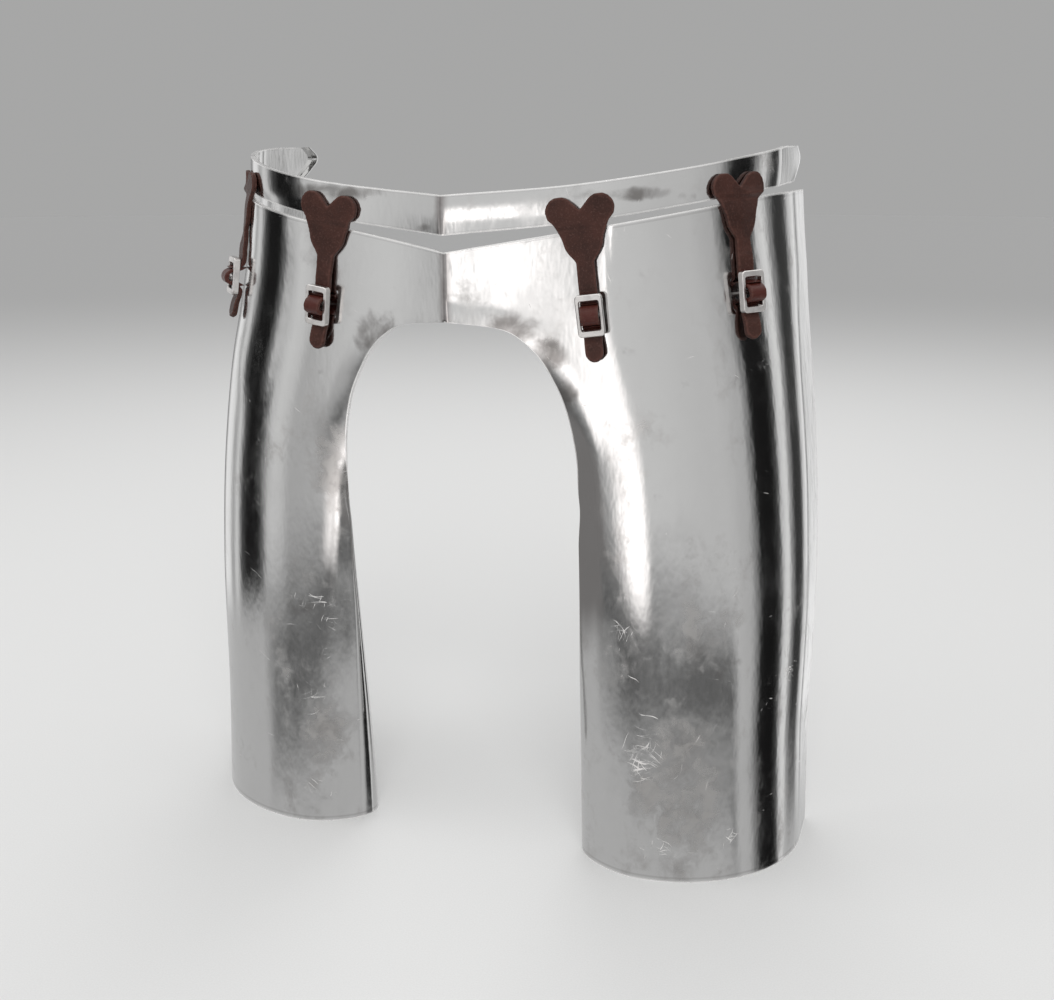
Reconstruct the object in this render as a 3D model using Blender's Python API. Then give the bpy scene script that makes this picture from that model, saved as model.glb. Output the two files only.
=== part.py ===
"""Leg armour: a steel waist band and a thigh plate joined by four buckled leather straps.

X runs to the wearer's left, -Y is the front and Z is up. Lengths below are millimetres
until MM turns them into metres. The armour stands on the lower edges of its two legs.
"""

import math
from collections import namedtuple

import bmesh
import bpy
from mathutils import Matrix, Vector

MM = 0.001

# Clearance between any two pieces
GAP = 0.35

# Thickness of the steel wall, measured level
STEEL = 3.0

# Thigh plate: the front line of each leg and the ridge down the middle of the belly
FRONT_Y = -8.0
RIDGE_OUT = 15.7
RIDGE_POWER = 1.8
REAR_Y_FOOT = 117.8
REAR_Y_TOP = 171.5
ARCH_TOP_Z = 382.0
REAR_TOP_Z = 462.8

# One row for each share of the way from the front ridge to the rear edge: the heights of
# the plate's top and of the band's foot and top
Rim = namedtuple("Rim", "share plate_top band_foot band_top")
RIM_LINES = (
    Rim(0.0, 426.2, 436.8, 461.8),
    Rim(0.25, 440.2, 444.5, 468.0),
    Rim(0.5, 454.2, 456.4, 478.9),
    Rim(0.66, 460.6, 463.6, 486.4),
    Rim(0.8, 462.3, 466.6, 491.2),
    Rim(1.0, 462.8, 468.4, 493.0),
)

# One row for each height of the leg: where its front line is, its widest point and how
# far back the rounded outer quarter reaches before the wall runs straight back
Leg = namedtuple("Leg", "height front_x outer_x quarter_depth")
LEG_SECTIONS = (
    Leg(0.0, 131.0, 230.6, 91.5),
    Leg(77.0, 131.0, 227.6, 94.0),
    Leg(192.0, 131.0, 226.6, 99.0),
    Leg(269.0, 127.5, 221.5, 103.5),
    Leg(307.0, 121.5, 217.5, 106.0),
    Leg(346.0, 110.0, 212.5, 109.0),
    Leg(384.0, 99.0, 207.4, 121.0),
    Leg(410.0, 96.0, 204.6, 131.0),
    Leg(435.0, 96.0, 201.4, 136.0),
    Leg(467.0, 96.0, 198.0, 138.0),
)

# The cut edge from the top of the crotch arch to the foot: how far out it lies, how far
# it is turned back behind the ridge surface, and how strongly it curls round the thigh
Edge = namedtuple("Edge", "height edge_x turned_back curl")
CUT_EDGE = (
    Edge(382.0, 0.0, 0.0, 0.0),
    Edge(378.2, 33.3, 0.0, 0.0),
    Edge(370.6, 48.6, 0.0, 0.0),
    Edge(359.0, 60.2, 0.0, 0.0),
    Edge(344.3, 69.1, 0.3, 0.0),
    Edge(329.0, 75.9, 0.8, 0.0),
    Edge(309.8, 80.8, 2.5, 0.0),
    Edge(291.0, 83.4, 4.6, 0.10),
    Edge(268.8, 84.0, 7.5, 0.22),
    Edge(230.4, 86.6, 15.0, 0.45),
    Edge(192.0, 88.5, 21.6, 0.64),
    Edge(153.6, 89.5, 28.5, 0.78),
    Edge(115.2, 90.4, 35.3, 0.88),
    Edge(76.8, 91.0, 41.2, 0.94),
    Edge(38.4, 91.4, 45.7, 0.98),
    Edge(0.0, 91.9, 49.2, 1.0),
)

# Where the plan curve between the cut edge and the leg's front line is steered: the
# farthest sideways and backward pull at the edge, and the level run off the front line.
# The curve is wholly steered from the curl named last.
CURL_REACH_X = 28.0
CURL_REACH_Y = 20.1
CURL_START = 25.6
FULL_CURL = 0.45

# Waist band
BAND_FRONT_X = 83.0
BAND_FRONT_Y = -10.2
BAND_RIDGE_OUT = 17.8
BAND_RIDGE_POWER = 1.4
BAND_OUTER_X = 193.6
BAND_QUARTER_DEPTH = 105.6
BAND_ROUNDNESS = 1.75
BAND_END_Y = 160.0
BAND_END_X = 195.2
BAND_LIP = 4.0

# The band's pointed end: how far down its face each row lies, as a share of the face, and
# how far back it reaches
BandEnd = namedtuple("BandEnd", "down reach")
BAND_END = (
    BandEnd(0.0, 0.0),
    BandEnd(0.32, 13.0),
    BandEnd(0.70, 1.0),
    BandEnd(1.0, -13.0),
)

# Strap: a two-lobed head, a tapering neck and a plain strap with a rounded tongue
LEATHER = 3.4
LOBE_RADIUS = 9.1
LOBE_SPREAD = 12.6
STRAP_WIDTH = 11.6
STRAP_LENGTH = 103.0
Neck = namedtuple("Neck", "down half_width")
NECK = (
    Neck(17.0, 17.2),
    Neck(21.0, 15.4),
    Neck(25.5, 13.4),
    Neck(29.0, 12.6),
    Neck(32.5, 11.7),
    Neck(36.0, 9.6),
    Neck(38.6, 7.4),
    Neck(41.0, STRAP_WIDTH / 2),
)
STRAIGHT_ROWS = (52.0, 60.0)

# The loose end: where it starts below the hump, the length of its rounded tip, the share
# of the width left at the very tip, and how far and how late it lifts off the steel
TONGUE_PAST_HUMP = 9.0
TONGUE_ROUND = 5.0
TONGUE_TIP_SHARE = 0.22
TONGUE_LIFT = 4.2
TONGUE_LIFT_POWER = 1.7

# Buckle: a rounded frame with a middle bar that the strap humps over
BUCKLE_WIDTH = 17.0
BUCKLE_HEIGHT = 26.4
BUCKLE_DEPTH = 4.6
BUCKLE_SIDE_BAR = 2.35
BUCKLE_END_BAR = 4.0
BUCKLE_CORNER = 2.6
BUCKLE_WINDOW_CORNER = 1.1
BUCKLE_EDGE = 0.45
BUCKLE_MIDDLE_DOWN = 73.6
BUCKLE_TILT = math.radians(3.4)
MIDDLE_BAR_HEIGHT = 3.2
MIDDLE_BAR_DEPTH = 3.0

# The strap's hump over the middle bar: its height along the strap, how far it stands
# proud of the buckle, and one row for each step from its foot up: how far it lies beyond
# the hump's wall and its share of the rise
HUMP_HEIGHT = 13.4
HUMP_PROUD = 4.4
Hump = namedtuple("Hump", "beyond_wall rise")
HUMP_SIDE = (
    Hump(4.9, 0.0),
    Hump(2.6, 0.035),
    Hump(0.7, 0.20),
    Hump(0.0, 0.50),
    Hump(-0.5, 0.78),
    Hump(-2.0, 0.95),
)

# One row for each pair of straps: the head's place, the way it faces in plan and how
# far it leans outward on the way down
StrapPair = namedtuple("StrapPair", "pair head_x head_y head_top facing lean")
STRAP_PAIRS = (
    StrapPair("front", 85.3, -14.4, 462.3, 10.0, 7.0),
    StrapPair("side", 174.4, 40.6, 475.8, 46.0, 2.7),
)
SIDES = (("left", 1), ("right", -1))

# Colour, metallic and roughness of each material
FINISHES = {
    "steel": ((0.62, 0.62, 0.61), 1.0, 0.18),
    "leather": ((0.075, 0.032, 0.025), 0.0, 0.55),
    "buckle_steel": ((0.70, 0.68, 0.66), 1.0, 0.30),
}

# Heights round a place that a strap must clear
SEAT_REACH = (-4.0, 0.0, 4.0)

# Steps of the faceted shapes; a lobe's rows are turns in degrees from its top
LOBE_TURNS = (16, 38, 60, 76, 90)
HEAD_STEPS = 3
TONGUE_STEPS = 7
CORNER_STEPS = 4
MIDDLE_BAR_SIDES = 8
PLATE_FRONT_STEPS = 7
PLATE_SIDE_STEPS = 9
PLATE_REAR_STEPS = 2
PLATE_EDGE_ROWS = 26
PLATE_UPPER_ROWS = 6
BAND_FRONT_STEPS = 9
BAND_SIDE_STEPS = 12
BAND_REAR_STEPS = 2

# Points nearer the mirror plane than this lie on it
ON_MIRROR = 1e-6

# Sharpest mitre of a wall's inner line, as the cosine of half the bend
SHARPEST_MITRE = 0.5


def clear_scene():
    for obj in list(bpy.data.objects):
        bpy.data.objects.remove(obj, do_unlink=True)


def make_material(name):
    colour, metallic, roughness = FINISHES[name]
    material = bpy.data.materials.new(name)
    material.use_nodes = True
    shader = material.node_tree.nodes["Principled BSDF"]
    shader.inputs["Base Color"].default_value = (*colour, 1.0)
    shader.inputs["Metallic"].default_value = metallic
    shader.inputs["Roughness"].default_value = roughness
    return material


def make_object(name, points, faces, material, smooth_angle=35.0):
    """A closed mesh object from points in millimetres, with its faces turned outward."""
    mesh = bpy.data.meshes.new(name)
    mesh.from_pydata([tuple(Vector(point) * MM) for point in points], [], faces)
    work = bmesh.new()
    work.from_mesh(mesh)
    bmesh.ops.recalc_face_normals(work, faces=work.faces)
    work.to_mesh(mesh)
    work.free()
    mesh.materials.append(material)
    mesh.shade_smooth()
    mesh.set_sharp_from_angle(angle=math.radians(smooth_angle))
    obj = bpy.data.objects.new(name, mesh)
    bpy.context.scene.collection.objects.link(obj)
    return obj


def mix(a, b, share):
    return a + (b - a) * share


def clamp(value, low, high):
    return max(low, min(high, value))


def smooth_step(share):
    return share * share * (3 - 2 * share)


def slope_at(table, places, index, column):
    """A column's slope at one row: that of the parabola through it and its neighbours."""
    slopes = []
    spans = []
    for low in (index - 1, index):
        if 0 <= low < len(table) - 1:
            spans.append(places[low + 1] - places[low])
            slopes.append((table[low + 1][column] - table[low][column]) / spans[-1])
    if len(slopes) == 1:
        return slopes[0]
    return (slopes[0] * spans[1] + slopes[1] * spans[0]) / (spans[0] + spans[1])


def curve_at(table, places, place):
    """The table's row at a place, on smooth curves through the rows that lie at places."""
    place = clamp(place, places[0], places[-1])
    index = 0
    while index < len(table) - 2 and place > places[index + 1]:
        index += 1
    start, end = table[index], table[index + 1]
    span = places[index + 1] - places[index]
    share = (place - places[index]) / span
    values = []
    for column in range(len(start)):
        left = slope_at(table, places, index, column) * span
        right = slope_at(table, places, index + 1, column) * span
        rise = end[column] - start[column]
        cubic = left + right - 2 * rise
        square = 3 * rise - 2 * left - right
        values.append(start[column] + share * (left + share * (square + share * cubic)))
    return type(start)(*values)


def leg_section(height):
    """The leg's plan measures at this height."""
    return curve_at(LEG_SECTIONS, [row.height for row in LEG_SECTIONS], height)


def edge_row(share):
    """The cut edge this share of the way from the arch's top to the foot, by rows."""
    return curve_at(CUT_EDGE, range(len(CUT_EDGE)), share * (len(CUT_EDGE) - 1))


def ridge_y(x, front_x, front_y, out, power):
    return front_y - out * max(0.0, 1 - x / front_x) ** power


def front_point(share, front_x, edge_x, turned_back, curl):
    """A point from the leg's front line, at 0, to its cut edge or the ridge, at 1."""
    edge_y = ridge_y(edge_x, front_x, FRONT_Y, RIDGE_OUT, RIDGE_POWER) + turned_back
    plain_x = mix(front_x, edge_x, share)
    plain_y = FRONT_Y + (edge_y - FRONT_Y) * share**RIDGE_POWER
    steer_x = (front_x, front_x - CURL_START, edge_x - CURL_REACH_X * curl, edge_x)
    steer_y = (FRONT_Y, FRONT_Y, edge_y - CURL_REACH_Y * curl, edge_y)
    rest = 1 - share
    weights = (rest**3, 3 * rest**2 * share, 3 * rest * share**2, share**3)
    curled_x = sum(w * x for w, x in zip(weights, steer_x))
    curled_y = sum(w * y for w, y in zip(weights, steer_y))
    curled = smooth_step(clamp(curl / FULL_CURL, 0.0, 1.0))
    return mix(plain_x, curled_x, curled), mix(plain_y, curled_y, curled)


def plate_section(height, edge_x=0.0, turned_back=0.0, curl=0.0):
    """The plate's outer face in plan at one height, from its inner edge to its rear edge."""
    leg = leg_section(height)
    front_x, outer_x, depth = leg.front_x, leg.outer_x, leg.quarter_depth
    line = []
    for step in range(PLATE_FRONT_STEPS, 0, -1):
        share = step / PLATE_FRONT_STEPS
        line.append(front_point(share, front_x, edge_x, turned_back, curl))
    for step in range(PLATE_SIDE_STEPS + 1):
        turn = math.pi / 2 * step / PLATE_SIDE_STEPS
        x = front_x + (outer_x - front_x) * math.sin(turn)
        line.append((x, FRONT_Y + depth * (1 - math.cos(turn))))
    rear_y = mix(REAR_Y_FOOT, REAR_Y_TOP, height / REAR_TOP_Z)
    for step in range(1, PLATE_REAR_STEPS + 1):
        share = step / PLATE_REAR_STEPS
        line.append((outer_x, mix(FRONT_Y + depth, rear_y, share)))
    return line


def band_section():
    """The band's outer face in plan, from the front ridge to its end."""
    line = []
    for step in range(BAND_FRONT_STEPS):
        x = BAND_FRONT_X * step / BAND_FRONT_STEPS
        y = ridge_y(x, BAND_FRONT_X, BAND_FRONT_Y, BAND_RIDGE_OUT, BAND_RIDGE_POWER)
        line.append((x, y))
    power = 2 / BAND_ROUNDNESS
    for step in range(BAND_SIDE_STEPS + 1):
        turn = math.pi / 2 * step / BAND_SIDE_STEPS
        across = math.sin(turn) ** power
        along = 1 - max(0.0, math.cos(turn)) ** power
        x = mix(BAND_FRONT_X, BAND_OUTER_X, across)
        line.append((x, BAND_FRONT_Y + BAND_QUARTER_DEPTH * along))
    side_end = BAND_FRONT_Y + BAND_QUARTER_DEPTH
    for step in range(1, BAND_REAR_STEPS + 1):
        share = step / BAND_REAR_STEPS
        line.append((mix(BAND_OUTER_X, BAND_END_X, share), mix(side_end, BAND_END_Y, share)))
    return line


def inset_line(line, depth, on_mirror):
    """The line moved to its left-hand side, with a mitre at the mirror plane."""
    moved = []
    for index, point in enumerate(line):
        before = line[index - 1] if index else None
        after = line[index + 1] if index + 1 < len(line) else None
        if before is None and on_mirror:
            before = (-after[0], after[1])
        tangents = []
        for start, end in ((before, point), (point, after)):
            if start is not None and end is not None:
                step = Vector((end[0] - start[0], end[1] - start[1]))
                tangents.append(step.normalized())
        tangent = sum(tangents, Vector((0.0, 0.0))).normalized()
        reach = depth / max(SHARPEST_MITRE, tangent.dot(tangents[0]))
        moved.append((point[0] - tangent.y * reach, point[1] + tangent.x * reach))
    return moved


def travel_shares(line):
    """How far along the line each point lies, from 0 to 1."""
    lengths = [0.0]
    for start, end in zip(line, line[1:]):
        lengths.append(lengths[-1] + math.dist(start, end))
    return [length / lengths[-1] for length in lengths]


def rim_heights(share):
    """Heights of the plate's top and the band's foot and top, this share of the way back."""
    return curve_at(RIM_LINES, [rim.share for rim in RIM_LINES], share)


def closed_sheet(name, outer, inner, polygons, material):
    """A wall between two faces that share their polygons, closed along its open edges."""
    count = len(outer)
    uses = {}
    for polygon in polygons:
        for start, end in zip(polygon, polygon[1:] + polygon[:1]):
            uses.setdefault(frozenset((start, end)), []).append((start, end))
    faces = [list(polygon) for polygon in polygons]
    faces += [[count + index for index in reversed(polygon)] for polygon in polygons]
    for edges in uses.values():
        if len(edges) == 1:
            start, end = edges[0]
            faces.append([end, start, count + start, count + end])
    return make_object(name, list(outer) + list(inner), faces, material)


def mirrored_sheet(name, rows, material):
    """A wall from rows of (outer, inner) lines, made twice about X = 0.

    A row whose first point lies on the mirror plane shares that point with its twin.
    """
    layers = ([], [])
    index = {}

    def add(side, row, column):
        if abs(rows[row][0][column][0]) < ON_MIRROR:
            side = 1
        key = (side, row, column)
        if key not in index:
            index[key] = len(layers[0])
            for layer, points in zip(layers, rows[row]):
                x, y, z = points[column]
                layer.append((side * x, y, z))
        return index[key]

    polygons = []
    for side in (1, -1):
        for row in range(len(rows) - 1):
            for column in range(len(rows[0][0]) - 1):
                near = ((row, column), (row + 1, column))
                far = ((row + 1, column + 1), (row, column + 1))
                polygons.append([add(side, *corner) for corner in (near + far)[::side]])
    return closed_sheet(name, layers[0], layers[1], polygons, material)


def wall_row(outer, heights):
    """One row of the wall: its outer line and the same line set in by the steel."""
    inner = inset_line(outer, STEEL, abs(outer[0][0]) < ON_MIRROR)
    return tuple(
        [(x, y, z) for (x, y), z in zip(line, heights)] for line in (outer, inner)
    )


def build_thigh_plate(material):
    rows = []
    shares = travel_shares(plate_section(REAR_TOP_Z))
    tops = [rim_heights(share).plate_top for share in shares]
    for step in range(PLATE_UPPER_ROWS):
        heights = [mix(top, ARCH_TOP_Z, step / PLATE_UPPER_ROWS) for top in tops]
        outer = [plate_section(height)[column] for column, height in enumerate(heights)]
        rows.append(wall_row(outer, heights))
    for step in range(PLATE_EDGE_ROWS + 1):
        edge = edge_row(step / PLATE_EDGE_ROWS)
        outer = plate_section(*edge)
        rows.append(wall_row(outer, [edge.height] * len(outer)))
    return mirrored_sheet("thigh_plate", rows, material)


def build_waist_band(material):
    line = band_section()
    shares = travel_shares(line)
    rows = []
    for down, reach in BAND_END:
        heights = []
        for share in shares + [1.0]:
            rim = rim_heights(share)
            heights.append(mix(rim.band_top, rim.band_foot, down))
        # The last point runs back to the pointed end, and then a narrow lip turns inward
        end_x, end_y = line[-1]
        end = (end_x, end_y + reach)
        lip = (end_x - STEEL - BAND_LIP, end_y + reach)
        rows.append(wall_row(line[:-1] + [end, lip], heights))
    return mirrored_sheet("waist_band", rows, material)


class StrapSeat:
    """The frame that a left-hand strap and its buckle are laid out in.

    across runs along the steel towards the wearer's left, down follows the strap and out
    leaves the steel. The seat starts level with the tops of the strap's two lobes.
    """

    def __init__(self, head_x, head_y, head_top, facing, lean):
        facing = math.radians(facing)
        lean = math.radians(lean)
        self.level = Vector((math.cos(facing), math.sin(facing), 0.0))
        self.out = Vector((math.sin(facing), -math.cos(facing), 0.0))
        self.across = self.level * math.cos(lean) + Vector((0, 0, math.sin(lean)))
        self.down = self.level * math.sin(lean) - Vector((0, 0, math.cos(lean)))
        self.origin = Vector((head_x, head_y, head_top))

    def place(self, across, down, out):
        return self.origin + self.across * across + self.down * down + self.out * out

    def crossing(self, line, place):
        """How far out a plan line reaches at this level place, and the share travelled."""
        shares = travel_shares(line)
        best = None
        for index in range(len(line) - 1):
            ends = [Vector((*point, 0.0)) - self.origin for point in line[index : index + 2]]
            start, end = (vector.dot(self.level) for vector in ends)
            if start <= place <= end and end > start:
                share = (place - start) / (end - start)
                out = mix(ends[0].dot(self.out), ends[1].dot(self.out), share)
                travelled = mix(shares[index], shares[index + 1], share)
                if best is None or out > best[0]:
                    best = (out, travelled)
        return best

    def steel_at(self, level_place, height):
        """Outer face of the steel at one height, or None in the slot below the band."""
        band_out, travelled = self.crossing(band_section(), level_place)
        if height >= rim_heights(travelled).band_foot:
            return band_out
        plate_out, travelled = self.crossing(plate_section(height), level_place)
        return plate_out if height <= rim_heights(travelled).plate_top else None

    def steel_out(self, across, down):
        """The steel's outermost face round this place, so that leather laid on it clears."""
        offset = self.across * across + self.down * down
        heights = [self.origin.z + offset.z + step for step in SEAT_REACH]
        found = [self.steel_at(offset.dot(self.level), height) for height in heights]
        return max(out for out in found if out is not None)


def lobe_row(down):
    """Inner and outer edge of one lobe at this distance below its top."""
    drop = LOBE_RADIUS - down
    half = math.sqrt(max(0.0, LOBE_RADIUS**2 - drop**2))
    slope = math.acos(LOBE_RADIUS / LOBE_SPREAD)
    touch_down = LOBE_RADIUS - LOBE_RADIUS * math.sin(slope)
    touch_across = LOBE_SPREAD - LOBE_RADIUS * math.cos(slope)
    if down < touch_down:
        return LOBE_SPREAD - half, LOBE_SPREAD + half
    inner = touch_across * drop / (LOBE_RADIUS - touch_down)
    return inner, LOBE_SPREAD + half


def head_rows():
    """The head and neck: how far down each row lies and how far across its points are."""
    rows = []
    for turn in LOBE_TURNS:
        down = LOBE_RADIUS * (1 - math.cos(math.radians(turn)))
        inner, outer = lobe_row(down)
        right = [mix(inner, outer, step / HEAD_STEPS) for step in range(HEAD_STEPS + 1)]
        rows.append((down, [-value for value in reversed(right)], right))
    for down, half in (lobe_side(), *NECK):
        steps = range(-HEAD_STEPS, HEAD_STEPS + 1)
        rows.append((down, [half * step / HEAD_STEPS for step in steps], None))
    return rows


def lobe_side():
    """The lobe's outer side half-way between its middle and the neck."""
    down = (LOBE_RADIUS + NECK[0][0]) / 2
    return down, lobe_row(down)[1]


def strap_path():
    """The middle of the leather from the neck to the tip: down, out, half width."""
    flat = GAP + LEATHER / 2
    half = STRAP_WIDTH / 2
    middle = BUCKLE_MIDDLE_DOWN
    wall = (HUMP_HEIGHT - LEATHER) / 2
    top = buckle_back(0.0) + BUCKLE_DEPTH + HUMP_PROUD - LEATHER / 2
    hump = [(wall + row.beyond_wall, mix(flat, top, row.rise)) for row in HUMP_SIDE]
    path = [(down, flat, half) for down in STRAIGHT_ROWS]
    path += [(middle - reach, out, half) for reach, out in hump]
    path.append((middle, top, half))
    path += [(middle + reach, out, half) for reach, out in reversed(hump)]
    start = middle + wall + TONGUE_PAST_HUMP
    for step in range(TONGUE_STEPS + 1):
        down = mix(start, STRAP_LENGTH, math.sin(math.pi / 2 * step / TONGUE_STEPS))
        share = (down - start) / (STRAP_LENGTH - start)
        rest = clamp((STRAP_LENGTH - down) / TONGUE_ROUND, 0.0, 1.0)
        narrowed = half * max(TONGUE_TIP_SHARE, math.sqrt(1 - (1 - rest) ** 2))
        path.append((down, flat + TONGUE_LIFT * share**TONGUE_LIFT_POWER, narrowed))
    return path


def buckle_back(up):
    """How far the buckle's back face stands off the steel, this far above its middle."""
    return 2 * GAP + LEATHER + (BUCKLE_HEIGHT / 2 + up) * math.tan(BUCKLE_TILT)


def steel_line(seat):
    """The steel behind strap and buckle as a straight line: its start and its slope."""
    places = (BUCKLE_MIDDLE_DOWN - BUCKLE_HEIGHT / 2, STRAP_LENGTH)
    half = STRAP_WIDTH / 2
    outs = [max(seat.steel_out(side * half, down) for side in (-1, 0, 1)) for down in places]
    slope = (outs[1] - outs[0]) / (places[1] - places[0])
    return outs[0] - slope * places[0], slope


def build_strap(name, seat, side, material):
    outer = []
    inner = []
    polygons = []

    def add(across, down, inner_out, outer_out, slant=0.0):
        for layer, out in ((inner, inner_out), (outer, outer_out)):
            shift = slant * (1 if layer is outer else -1)
            point = seat.place(across, down + shift, out)
            layer.append((side * point.x, point.y, point.z))
        return len(outer) - 1

    def add_seated(across, down):
        out = seat.steel_out(across, down) + GAP
        return add(across, down, out, out + LEATHER)

    def join(upper, lower):
        for step in range(len(upper) - 1):
            polygons.append([upper[step], lower[step], lower[step + 1], upper[step + 1]])

    lobes = [[], []]
    rows = []
    notch = None
    for down, left, right in head_rows():
        if right is None:
            rows.append([add_seated(across, down) for across in left])
            continue
        for lobe, places in zip(lobes, (left, right)):
            row = []
            for across in places:
                if abs(across) < ON_MIRROR and notch is not None:
                    row.append(notch)
                    continue
                row.append(add_seated(across, down))
                if abs(across) < ON_MIRROR:
                    notch = row[-1]
            lobe.append(row)
    for lobe in lobes:
        for upper, lower in zip(lobe, lobe[1:]):
            join(upper, lower)
    join(lobes[0][-1] + lobes[1][-1][1:], rows[0])
    for upper, lower in zip(rows, rows[1:]):
        join(upper, lower)

    start, slope = steel_line(seat)
    path = strap_path()
    previous = rows[-1]
    for index, (down, out, half) in enumerate(path):
        before = path[max(0, index - 1)]
        after = path[min(len(path) - 1, index + 1)]
        along = Vector((after[0] - before[0], after[1] - before[1])).normalized()
        base = start + slope * down + out
        shift = LEATHER / 2 * along.x
        slant = -LEATHER / 2 * along.y
        row = [
            add(across, down, base - shift, base + shift, slant)
            for across in (-half, half)
        ]
        polygons.append([previous[0], *row, *reversed(previous[1:])])
        previous = row
    return closed_sheet(name, outer, inner, polygons, material)


def rounded_loop(width, height, radius):
    """Corner points of a rounded rectangle, the same number whatever its size."""
    loop = []
    for quarter in range(4):
        sign_x = 1 if quarter in (0, 3) else -1
        sign_y = 1 if quarter in (0, 1) else -1
        for step in range(CORNER_STEPS + 1):
            turn = math.pi / 2 * (quarter + step / CORNER_STEPS)
            x = sign_x * (width / 2 - radius) + radius * math.cos(turn)
            y = sign_y * (height / 2 - radius) + radius * math.sin(turn)
            loop.append((x, y))
    return loop


def build_buckle(name, seat, side, material):
    frame_size = (BUCKLE_WIDTH, BUCKLE_HEIGHT, BUCKLE_CORNER)
    window_width = BUCKLE_WIDTH - 2 * BUCKLE_SIDE_BAR
    window_height = BUCKLE_HEIGHT - 2 * BUCKLE_END_BAR
    window_size = (window_width, window_height, BUCKLE_WINDOW_CORNER)
    shoulder = BUCKLE_DEPTH - BUCKLE_EDGE
    # Round the bar's section: up the outside, over the two broken edges and down the window
    rings = (
        (frame_size, 0.0, 0.0),
        (frame_size, 0.0, shoulder),
        (frame_size, -BUCKLE_EDGE, BUCKLE_DEPTH),
        (window_size, BUCKLE_EDGE, BUCKLE_DEPTH),
        (window_size, 0.0, shoulder),
        (window_size, 0.0, 0.0),
    )
    points = []
    for (width, height, radius), grow, out in rings:
        loop = rounded_loop(width + 2 * grow, height + 2 * grow, radius + grow)
        points += [(x, y, out) for x, y in loop]
    count = len(points) // len(rings)
    faces = []
    for ring in range(len(rings)):
        following = (ring + 1) % len(rings)
        for index in range(count):
            turned = (index + 1) % count
            faces.append(
                [
                    ring * count + index,
                    ring * count + turned,
                    following * count + turned,
                    following * count + index,
                ]
            )
    frame = make_object(name, points, faces, material)
    bar = build_middle_bar(name + "_middle_bar", material)
    union = frame.modifiers.new("middle_bar", "BOOLEAN")
    union.operation = "UNION"
    union.object = bar
    matrix = buckle_matrix(seat, side)
    frame.matrix_world = matrix
    bar.matrix_world = matrix
    return frame


def build_middle_bar(name, material):
    """A faceted bar whose ends lie inside the buckle's side bars."""
    reach = (BUCKLE_WIDTH - BUCKLE_SIDE_BAR) / 2
    middle_out = BUCKLE_DEPTH - BUCKLE_EDGE - MIDDLE_BAR_DEPTH / 2
    sides = MIDDLE_BAR_SIDES
    points = []
    for x in (-reach, reach):
        for step in range(sides):
            turn = 2 * math.pi * (step + 0.5) / sides
            y = MIDDLE_BAR_HEIGHT / 2 * math.cos(turn)
            points.append((x, y, middle_out + MIDDLE_BAR_DEPTH / 2 * math.sin(turn)))
    faces = []
    for step in range(sides):
        turned = (step + 1) % sides
        faces.append([turned, step, sides + step, sides + turned])
    faces.append(list(range(sides)))
    faces.append([sides + step for step in reversed(range(sides))])
    bar = make_object(name, points, faces, material)
    bar.hide_render = True
    bar.display_type = "WIRE"
    return bar


def buckle_matrix(seat, side):
    """Place and turn of a buckle whose local Z leaves the steel and whose Y runs up."""
    start, slope = steel_line(seat)
    lift = math.atan(slope) - BUCKLE_TILT
    up = -seat.down
    out = seat.out * math.cos(lift) + up * math.sin(lift)
    up = up * math.cos(lift) - seat.out * math.sin(lift)
    middle = BUCKLE_MIDDLE_DOWN
    place = seat.place(0.0, middle, start + slope * middle + buckle_back(0.0))
    across = up.cross(out)
    if side < 0:
        place.x, out.x, up.x = -place.x, -out.x, -up.x
        across = up.cross(out)
    columns = (across, up, out, place * MM)
    matrix = Matrix.Identity(4)
    for column, vector in enumerate(columns):
        for row in range(3):
            matrix[row][column] = vector[row]
    return matrix


def stand_on_origin():
    """Bring the middle of the armour's depth over the origin; its feet stand at Z = 0."""
    bpy.context.view_layer.update()
    depths = [
        (obj.matrix_world @ vertex.co).y
        for obj in bpy.data.objects
        if not obj.hide_render
        for vertex in obj.data.vertices
    ]
    middle = (min(depths) + max(depths)) / 2
    for obj in bpy.data.objects:
        obj.location.y -= middle


def main():
    clear_scene()
    materials = {name: make_material(name) for name in FINISHES}
    build_waist_band(materials["steel"])
    build_thigh_plate(materials["steel"])
    for pair, *place in STRAP_PAIRS:
        seat = StrapSeat(*place)
        for word, side in SIDES:
            build_strap(f"{pair}_strap_{word}", seat, side, materials["leather"])
            build_buckle(f"{pair}_buckle_{word}", seat, side, materials["buckle_steel"])
    stand_on_origin()


main()
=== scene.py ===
"""The looks of the leg armour: polished, scuffed steel, dark leather and satin buckles."""

import math
from collections import namedtuple

import bmesh
import bpy
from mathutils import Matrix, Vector, noise
from mathutils.kdtree import KDTree


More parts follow.
